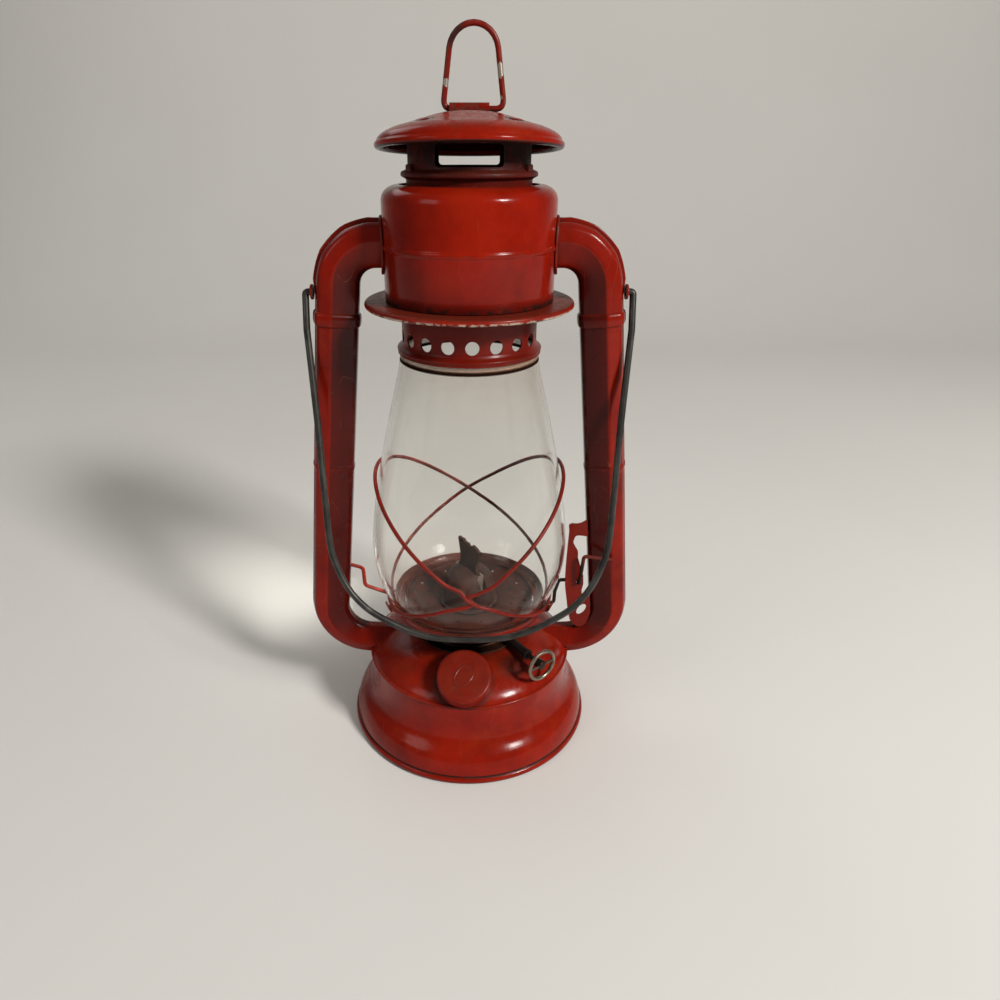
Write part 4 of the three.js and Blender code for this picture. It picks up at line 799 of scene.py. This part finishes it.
def winder():
    along_x = rotation(90, "Y")
    sleeve = points((1.6, 0), (2.6, 0), (2.6, 20.6), (3.0, 21.2), (3.0, 22.4), (1.6, 22.4))
    sleeve = placed(lathe(sleeve, 32, 0.3), BURNER @ shift(26.4, *SHAFT) @ along_x)
    show("sleeve_of_winder", sleeve, BLACK_STEEL, "winder_sleeve", slot="black_steel")
    shaft = placed(rod(1.25, (-9, *SHAFT), (59.6, *SHAFT), 24), BURNER)
    show("shaft_of_winder", shaft, BLACK_STEEL, "winder_shaft", body="winder", slot="black_steel")
    far = BURNER @ shift(60, *SHAFT)
    ring = placed(sweep([Vector((0, *p)) for p in circle(8.6, 64)], circle(1.1, 14), X_AXIS, True), far)
    show("ring_of_winder", ring, PLATED, "winder_handle", body="winder", slot="bare_metal")
    hub = points((1.6, -4.4), (2.4, -4.4), (2.7, -3.6), (2.7, 0.6), (2.2, 1.1), (0.1, 1.1), (0, 1.1), (0, -0.3),
                 (1.6, -0.3))
    hub = placed(lathe(hub, 32, 0.3), along_x)
    spoke = placed(joined(rod(0.85, (0, -8.4, 0), (0, 8.4, 0), 14), hub), far)
    show("spoke_of_winder", spoke, DARK_PLATED, body="winder", slot="bare_metal")


# Globe, plate and guard

GLOBE_LINE = [(42.2, 79.4), (43.6, 81.2), (45.6, 84.6), (48.3, 88.3), (50.4, 92.4), (52.1, 97.2), (53.6, 102.8),
              (54.6, 109), (55.0, 116), (54.95, 122), (54.2, 130), (52.9, 140), (51.2, 150.5), (49.4, 160),
              (47.4, 170), (45.2, 180), (43.0, 190), (40.6, 200), (38.2, 210), (36.4, 218), (35.3, 224.5),
              (34.7, 229.4)]


def globe_radius(height):
    for (r1, z1), (r2, z2) in zip(GLOBE_LINE, GLOBE_LINE[1:]):
        if z1 <= height <= z2:
            return r1 + (r2 - r1) * (height - z1) / (z2 - z1)
    return GLOBE_LINE[0][0]


def globe():
    line = spline(GLOBE_LINE, 3)
    mesh = lathe(eased(line + offset(line, 2.0)[::-1], 0.7, 4))
    show("glass_globe", mesh, GLOBE_GLASS, "globe", body="globe_carriage", slot="globe_glass")


def globe_plate():
    outline = points((38.7, 77.2), (44.0, 77.2), (44.8, 78.2), (45.2, 80.2))
    outline += arc((45.2, 82.0), 0.4, -60, 180, 8) + points((44.4, 80.2), (44.0, 79.1), (38.7, 79.1))
    ring = lathe(outline, ease=0.3)
    strip = spline([(45.2, 0, 81.7), (46.6, 0, 82.5), (49.0, 0, 82.9), (50.5, 0, 83.9), (50.8, 0, 86.0)])
    ears = [placed(sweep(strip, slab(3.5, 0.38, 0.3), Z_AXIS), rotation(angle, "Z")) for angle in (-24, -156)]
    show("plate_of_globe", joined(ring, *ears), PLATE_PAINT, "globe_plate", body="globe_carriage")
    line = spline([(18.1, 75.7), (22, 75.9), (27, 76.3), (32, 77.0), (36.5, 77.7), (38.0, 78.6),
                   (38.2, 81.2)], 4)
    holes = []
    for count, reach in ((20, 33.0), (12, 25.5)):
        holes += rods_round(count, 0.5, 0.85, (reach, 73), (reach, 82), 10)
    deck = cut(lathe(walled(line), 96), *holes)
    show("deck_of_plate", deck, DECK_STEEL, "plate_deck", body="globe_carriage", slot="grey_steel")


def guard_hoops():
    """Two wire hoops that twist once round each other in front and only cross behind."""
    steps, middle, rise, sag, tilt = 400, 123.3, 38.7, 5, math.radians(8)
    front_radius, gap, straight, twist, twist_out, twist_aside = 52, 2.1, 11, 6.5, 1.15, 1.7
    for side, name in ((1, "right"), (-1, "left")):
        path = []
        for i in range(steps):
            angle = TURN * i / steps
            from_front = (angle - 0.75 * TURN) * front_radius
            share = min(abs(from_front) / straight, 1)
            around = angle + from_front * (share**2 * (3 - 2 * share) - 1) / front_radius
            low = angle - (-tilt if side > 0 else math.pi + tilt)
            z = middle - rise * math.cos(low) - sag * math.sin(low) ** 2
            crossing = math.exp(-((math.cos(angle) / 0.24) ** 2))
            phase = math.pi * (1 + min(max(from_front / twist, -1), 1))
            radius = globe_radius(z) + gap + (0.55 - side * twist_out * math.cos(phase)) * crossing
            path.append(polar(radius, around - side * twist_aside * math.sin(phase) / front_radius, z))
        hoop = sweep(path, circle(1.05, 14), lambda p: Vector((p.x, p.y, 0)), True)
        show(f"hoop_of_guard_{name}", hoop, WIRE_PAINT, f"guard_hoop_{name}", body="globe_carriage")
    arm = wire([(-46.2, 0, 79.4), (-62, 0, 85.8), (-64.2, 10.7, 91.3), (-79, 10.7, 96)], 2.2, 3, Z_AXIS)
    show("arm_of_plate", arm, WIRE_PAINT, "guide_arm", body="globe_carriage")


# Side tubes

TUBE_WIDTH, TUBE_DEPTH = 20.9, 17.0
SLOPE = math.atan(0.1)
RUN = math.atan(0.05)
ELBOW_X, ELBOW_Z, ELBOW_RADIUS = 45, 259, 18.9
SOCKET_Z = 277.9
KNEE_Z, KNEE_RADIUS = 74.3, 22.6
JOINT_Z = 243.5


def tube_outline(grow=0.0, narrowing=1.0, seam=0.45, reach=0.0):
    """The tube's section: x away from the globe, soft ridges in front and behind, and a seam outside."""
    half_width, half_depth = TUBE_WIDTH / 2 + grow, TUBE_DEPTH / 2 + grow
    side = [(half_width, 3.6), (half_width - 1.7, half_depth - 1.7), (2.2, half_depth),
            (1.6 - half_width, half_depth - 4.2), (-half_width, 2.6)]
    corners = [Vector((x, y, 0)) for x, y in side] + [Vector((x, -y, 0)) for x, y in side[::-1]]
    loop = [p.xy for p in bent(corners, 3.6, True, 10)]
    last = max(range(len(loop)), key=lambda i: (loop[i].x > half_width - 0.01, -loop[i].y))
    loop = loop[last + 1:] + loop[:last + 1]
    edge, step = half_width + 0.05, half_width + min(seam, 0.3)
    loop += points((edge, -1.2), (step, -0.6)) + arc((half_width + seam, 0), 0.55, -90, 90, 6)
    loop += points((step, 0.6), (edge, 1.2))
    for p in loop:
        p.x = half_width - (half_width - p.x) * narrowing + (reach * p.x / half_width if p.x > 0 else 0)
    return loop


def tube_axis(z):
    return ELBOW_X + ELBOW_RADIUS * math.cos(SLOPE) + 0.1 * (ELBOW_Z + ELBOW_RADIUS * math.sin(SLOPE) - z)


def tube_path():
    """The tube's centre line from the barrel to the fount."""
    slope = math.degrees(SLOPE)
    path = [(40.6, SOCKET_Z), (43, SOCKET_Z)] + arc((ELBOW_X, ELBOW_Z), ELBOW_RADIUS, 90, slope, 16)
    start, end = 260.9, KNEE_Z + KNEE_RADIUS * math.sin(SLOPE)
    heights = [start + (end - start) * i / 24 for i in range(1, 24)]
    path += [(tube_axis(z), z) for z in heights]
    knee = (tube_axis(end) - KNEE_RADIUS * math.cos(SLOPE), KNEE_Z)
    path += arc(knee, KNEE_RADIUS, slope, math.degrees(RUN) - 90, 20)
    return upright(path + [path[-1] + Vector((-1, -0.05)) * reach for reach in (8, 16, 23)])


def crimp(heights, rise):
    """A bead pressed round the tube, from the heights of its stations."""
    shares = [0.05, 0.68, 0.95, 1.0, 0.95, 0.7, 0.1]
    last = len(shares) - 1
    path = upright((tube_axis(z), z) for z in heights)
    return sweep(path, lambda share: tube_outline(rise * shares[round(share * last)]), Y_AXIS)


def side_tubes():
    path = tube_path()
    split = next(i for i, p in enumerate(path) if p.z < JOINT_Z + 0.5)
    above, below = upright((tube_axis(z), z) for z in (JOINT_Z + 0.1, JOINT_Z - 0.1))
    upper, lower = path[:split] + [above], [below] + path[split:]

    def elbow_section(share):
        """The wide seam follows the elbow in three straight folds and ends in a step above the leg."""
        step_z, last_turn, fold_angle = 260, 86, 29
        place = upper[round(share * (len(upper) - 1))]
        turn = math.degrees(math.atan2(place.x - ELBOW_X, place.z - ELBOW_Z))
        if place.z < step_z or not 0 < turn < last_turn:
            return tube_outline(seam=0.45 if place.z < step_z else 1.3)
        fold = math.radians(turn % fold_angle - fold_angle / 2)
        return tube_outline(seam=1.4, reach=9 * (1 / math.cos(fold) - 1))

    def leg_section(share):
        """The leg narrows round its lower bend."""
        last = len(lower) - 1
        bent_share = min(max((round(share * last) - last + 23) / 20, 0), 1)
        return tube_outline(narrowing=1 - 0.2 * bent_share)

    socket = crimp((246.6, 246.0, 245.0, 243.2, 241.4, 240.3, 239.8), 1.1)
    show_pair("elbow", joined(sweep(upper, elbow_section, Y_AXIS), socket), TUBE_PAINT, "upper_tube")
    bead = crimp((165.6, 165.0, 164.4, 163.7, 163.0, 162.4, 161.8), 0.35)
    show_pair("leg", joined(sweep(lower, leg_section, Y_AXIS), bead), TUBE_PAINT, "lower_tube")


def tube_fittings():
    def softened(value):
        return math.copysign(abs(value) ** 0.75, value)

    path = []
    for i in range(64):
        a = TURN * i / 64
        y = (TUBE_DEPTH / 2 + 1.7) * softened(math.sin(a))
        z = SOCKET_Z + (TUBE_WIDTH / 2 + 1.7) * softened(math.cos(a))
        path.append(Vector((math.sqrt(41.9**2 - y**2), y, z)))
    flange = sweep(path, slab(0.5, 1.3, 0.35), lambda p: Vector((0, p.y, p.z - SOCKET_Z)), True)
    show_pair("flange", flange, FITTING_PAINT, "tube_flange")
    eyelet = lathe(points((2.1, 0), (3.7, 0), (3.7, 1.2), (2.1, 1.2)), 48, 0.3)
    eyelet = placed(eyelet, shift(76.7, 0, BAIL_Z) @ rotation(90, "Y"))
    show_pair("eyelet", eyelet, FITTING_PAINT, "bail_eyelet")


# Barrel and chimney


def barrel():
    line = points((41.2, 252.95), (41.2, 275.6))
    line += spline([(41.25, 276.2), (41.65, 277.0), (41.7, 277.6), (41.65, 278.2), (41.25, 279.0)], 3)
    line += points((41.2, 279.6), (41.2, 297.0))
    line += spline([(41.15, 298.4), (40.7, 300.2), (39.6, 301.9), (37.9, 303.3), (35.8, 304.2), (33.8, 304.6),
                    (32.5, 304.6)], 4)
    show("barrel_wall", lathe(walled(line), ease=0.2), BARREL_PAINT, "barrel")
    outline = points((34.2, 251.8), (47.5, 251.8)) + arc((50.1, 251.2), 1.5, 200, 440, 14)
    outline += points((47.5, 252.6), (35.4, 252.6), (35.0, 253.2), (35.0, 258.2), (34.2, 258.2))
    show("brim", lathe(outline, ease=0.25), BRIM_PAINT, "barrel_floor")


def chimney():
    line = points((36.1, 227.45)) + arc((35.6, 229.4), 0.75, -60, 60, 6) + points((34.7, 230.9))
    line += spline([(34.3, 231.3), (33.85, 232.2), (33.7, 233.2), (33.7, 240), (33.7, 261.8)], 3)
    line += points((33.2, 262.35), (28.4, 262.4))
    collar = cut(lathe(walled(line)), *rods_round(18, 0.62, 3.3, (31, 236), (36, 236), 28))
    show("collar_of_chimney", collar, COLLAR_PAINT, "perforated_collar", body="chimney")


def chimney_spring():
    """The spring in two lengths: the upper rides on the frame, the lower on the globe carriage."""
    low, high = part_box("chimney_spring")
    thick, turns, steps = 0.6, 7, 196
    radius, foot, head = high[0] / MM - thick, low[2] / MM + thick, high[2] / MM - thick
    middle = (foot + head) / 2
    for name, body, joint, travel, start, end, nodes in (
            ("spring_above", "frame", "globe_lift", 10, middle, head, ["chimney_spring"]),
            ("spring_below", "globe_carriage", "chimney_lift", 6.5, foot, middle, [])):
        heights = [start + (end - start) * i / steps for i in range(steps + 1)]
        path = [polar(radius, TURN * turns * (z - foot) / (head - foot), z) for z in heights]
        coils = sweep(path, circle(thick, 10), Z_AXIS)
        piece = show(name, coils, GREY_STEEL, *nodes, body=body, slot="grey_steel")
        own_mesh(piece)


# Crown, hood and lift ring

CROWN_RADIUS = 28.7
CROWN_TOP = shift(0, 0, 326.9)
LEAN = CROWN_TOP @ rotation(-4.1, "X") @ CROWN_TOP.inverted()
BAR_Z = 335.2


def window(degrees, half_angle):
    """A cutter for a window in the crown's wall, with rounded corners."""
    corner, low, high = 1.6, 312.2, 321.4
    x, bottom, top = CROWN_RADIUS * math.sin(math.radians(half_angle)) - corner, low + corner, high - corner
    outline = []
    for quarter, centre in enumerate(((x, bottom), (x, top), (-x, top), (-x, bottom))):
        outline += arc(centre, corner, 90 * quarter - 90, 90 * quarter, 5)
    made = extruded(outline, CROWN_RADIUS - 18, CROWN_RADIUS + 6, lambda p, y: Vector((p.x, y, p.y)))
    return placed(made, rotation(degrees, "Z"))


def crown():
    line = points((29.1, 302.65), (29.1, 306.4))
    line += spline([(29.3, 306.9), (30.4, 307.5), (31.4, 308.1), (31.6, 309.0), (31.2, 309.9), (29.9, 310.5),
                    (28.9, 311.0)], 4)
    line += points((CROWN_RADIUS, 311.4), (CROWN_RADIUS, 329.4))
    above = placed(block((-40, -40, 326.85), (40, 40, 340)), LEAN)
    cutters = [window(0, 31), window(180, 31), window(90, 15), window(-90, 15)]
    tabs = []
    reach, height, span, steps = 29.9, 311.6, 9, 8
    for middle in (-28, 28, 152, 208):
        path = [polar(reach, math.radians(middle + span * (k / steps - 0.5)), height) for k in range(steps + 1)]
        tabs.append(sweep(path, slab(0.9, 1.5, 0.7), Z_AXIS))
    whole = joined(cut(cut(lathe(walled(line)), above), *cutters), *tabs)
    show("crown_wall", whole, CROWN_PAINT, "crown", body="chimney")


def hood():
    line = spline([(41.9, 322.0), (41.3, 323.3), (40.0, 324.6), (37.6, 326.0), (33.8, 327.5), (29, 328.8),
                   (24, 330.3), (19, 331.8), (14.5, 333.0), (11.5, 333.35), (8, 333.4)], 4)
    line += points((0.12, 333.4), (0, 333.4))
    pieces = [lathe(arc((41.25, 320.4), 1.7, -250, 40, 16) + line + offset(line, SHEET)[::-1])]
    outline = spline([(4.6, -0.4), (4.3, 0.15), (3.3, 0.75), (1.8, 1.0), (0, 1.05)], 5)[:-1]
    outline += points((0.08, 1.05), (0, 1.05), (0, -0.4))
    reach, height, slope, squeeze = 28, 328.75, 15.5, Matrix.Diagonal((0.62, 1, 0.8, 1))
    for angle in (45, 135, 225, 315):
        lay = shift(*polar(reach, math.radians(angle), height)) @ rotation(angle, "Z")
        pieces.append(placed(lathe(outline, 32), lay @ rotation(slope, "Y") @ squeeze))
    show("hood_skin", placed(joined(*pieces), LEAN), HOOD_PAINT, "hood", body="chimney")


def ring():
    """The strap on the hood, and the ring that swings in it."""
    foot = 333.85
    line = points((6.3, foot), (3.2, foot)) + arc((0, BAR_Z), 1.75, -25, 205, 14)
    line += points((-3.2, foot), (-6.3, foot))
    outline = eased(offset(line, -SHEET) + line[::-1], 0.2)
    strap = placed(extruded(outline, -8.9, 8.9, lambda p, x: Vector((x, p.x, p.y))), LEAN)
    show("strap_of_ring", strap, STRAP_PAINT, "ring_strap", body="chimney")
    corners = upright([(-11.7, BAR_Z), (15.5, BAR_Z)] + arc((1.9, 356.85), 10.7, 90 / 11, 180 - 90 / 11))
    bar = Z_AXIS * BAR_Z * MM
    loop = placed(wire(corners, 2.55, 3.6, Y_AXIS, True), Matrix.Translation(LEAN @ bar - bar))
    show("ring_of_hood", loop, RING_PAINT, "lift_ring", body="lift_ring", slot="bare_metal")


# Bail and lift

BAIL_X, BAIL_Z, BAIL_REACH = 80.6, 256, 180.6
PIVOT_X, PIVOT_Z = 63.7, 92


def bail():
    shares = [(1, 0.1), (0.955, 0.36), (0.926, 0.575), (0.903, 0.71), (0.862, 0.777), (0.79, 0.843),
              (0.682, 0.899), (0.546, 0.939), (0.366, 0.977), (0.16, 0.997)]
    side = [(BAIL_X * across, -BAIL_REACH * down) for across, down in shares]
    curve = upright(spline(side + [(-x, z) for x, z in side[::-1]]))
    corners = [(77.2, 0, 0), (BAIL_X, 0, 0), *curve, (-BAIL_X, 0, 0), (-77.2, 0, 0)]
    handle = placed(wire(corners, 3.45, 2.7, Y_AXIS), shift(0, 0, BAIL_Z) @ rotation(-15.57, "X"))
    show("bail_wire", handle, BAIL_STEEL, "bail", body="bail", slot="grey_steel")


def lift():
    def edge(z, inwards=0.0, down=0.0):
        return (tube_axis(z) - TUBE_WIDTH / 2 - 0.2 - inwards, z - down)

    left, low, high, lobe_x, lobe_z = 55.9, 60.3, 132.6, 66.6, 71.0
    line = spline([edge(high), edge(high, 3, 2.0), edge(high, 6, 2.6), (left + 2.2, high - 2.4),
                   (left + 0.2, high - 3.6), (left + 0.5, high - 8), (left + 0.1, high - 20), (left, low + 32),
                   (left + 1.8, low + 18), (left + 3.2, low + 9.5), (left + 5.2, low + 3.4), (lobe_x - 1, low),
                   (lobe_x + 3.4, low + 2.6), edge(lobe_z)], 5)
    line += spline([edge(low + 21), (lobe_x + 2, low + 20.6), (lobe_x, low + 22), (lobe_x - 0.6, low + 26)], 4)
    line += points((66.7, 90.5), (66.3, 96))
    line += spline([(left + 6.4, low + 48), (left + 6.2, low + 52), (left + 4.6, low + 55),
                    (left + 3.4, low + 57.5), (left + 3.4, high - 13), (left + 5, high - 10),
                    edge(high - 10.6)], 4)
    hole = [(lobe_x + 2.024 * p.x + 1.968 * p.y, lobe_z + 1.6 - 1.104 * p.x + 3.608 * p.y)
            for p in circle(1, 32)]
    pivot = [(PIVOT_X + p.x, PIVOT_Z + p.y) for p in circle(1.35, 24)]
    bracket = placed(plate(0.9, line, hole, pivot), shift(0, -5.5, 0))
    show("bracket_of_lift", bracket, BRACKET_PAINT, "lift_bracket")
    corners = [(42.6, -3.4, 75.8), (50.3, -3.4, 75.8), (50.6, -3.4, 84), (52.6, -3.4, 91.6),
               (PIVOT_X, -3.4, PIVOT_Z), (PIVOT_X, -8.6, PIVOT_Z), (64.9, -10.8, 112), (81.5, -10.8, 109.5)]
    lever = wire(corners, 2.15, 2, Y_AXIS)
    show("wire_of_lever", lever, LEVER_STEEL, "lift_lever", body="lift_lever", slot="black_steel")


def inner_nodes():
    """CAD nodes that stay as they are get their materials."""
    for material, *nodes in (
            (BLACK_STEEL, "fount_bottom", "tank_top"), (CROWN_PAINT, "chimney_tube"), (SEAL, "cap_gasket"),
            (PLATED, "wick_tube", "wick_sprocket_1", "wick_sprocket_2")):
        for node in nodes:
            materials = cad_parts[node].data.materials
            materials.clear()
            materials.append(material)


# Studio


def studio():
    """A plain floor that sweeps up into a wall."""
    s = Shader("studio_sweep")
    s.set(Base_Color=s.mix(s.noise(300, 3, 0.5), rgb(224, 221, 216), rgb(230, 228, 223)), Roughness=0.9,
          Specular_IOR_Level=0.1)
    front, back, sweep_radius, top, half_width = -1600, 900, 600, 2600, 3000
    line = points((front, 0), (back, 0)) + arc((back, sweep_radius), sweep_radius, -90, 0, 24)[1:]
    line += points((back + sweep_radius, top))
    places = [(x * MM, p.x * MM, p.y * MM) for x in (-half_width, half_width) for p in line]
    count = len(line)
    mesh = bpy.data.meshes.new("floor")
    mesh.from_pydata(places, [], [(j, j + 1, count + j + 1, count + j) for j in range(count - 1)])
    for face in mesh.polygons:
        face.use_smooth = True
    mesh.materials.append(s.material)
    added("floor", mesh)


def lamp(name, place, size, power, colour=(1, 1, 1)):
    """An area light that looks at the lantern's middle."""
    middle = Vector((0, 0, 0.17))
    light = bpy.data.lights.new(name, "AREA")
    light.shape = "RECTANGLE"
    light.size, light.size_y = size
    light.energy = power
    light.color = colour
    holder = added(name, light)
    holder.location = place
    holder.rotation_mode = "QUATERNION"
    holder.rotation_quaternion = (middle - Vector(place)).to_track_quat("-Z", "Y")


def lights():
    lamp("key", (1.135, -1.022, 1.223), (0.312, 0.312), 33.8, (1, 0.975, 0.94))
    lamp("fill", (-1.2, -0.9, 0.9), (0.6, 0.6), 3, (1, 0.99, 0.97))
    lamp("back", (-0.9, 1.0, 1.3), (1.0, 0.6), 3.2)
    world = bpy.data.worlds.new("studio")
    bpy.context.scene.world = world
    world.use_nodes = True
    colour, strength = list(world.node_tree.nodes["Background"].inputs)[:2]
    colour.default_value = (0.95, 0.94, 0.92, 1)
    strength.default_value = 0.14


def camera():
    data = bpy.data.cameras.new("camera")
    data.lens = 25.99
    data.sensor_width = 36
    data.shift_x = 0.0307
    data.clip_start, data.clip_end = 0.01, 20
    holder = added("camera", data)
    holder.location = (0, -0.364, 0.3194)
    holder.rotation_euler = (math.radians(90 - 25.97), 0, 0)
    bpy.context.scene.camera = holder


for build in (camera, fount_skirt, fount_top, filler, burner, wick, winder, globe, globe_plate, guard_hoops,
              side_tubes, tube_fittings, barrel, chimney, chimney_spring, crown, hood, ring, bail, lift,
              inner_nodes, studio, lights):
    build()

bpy.context.scene.view_settings.view_transform = "Standard"
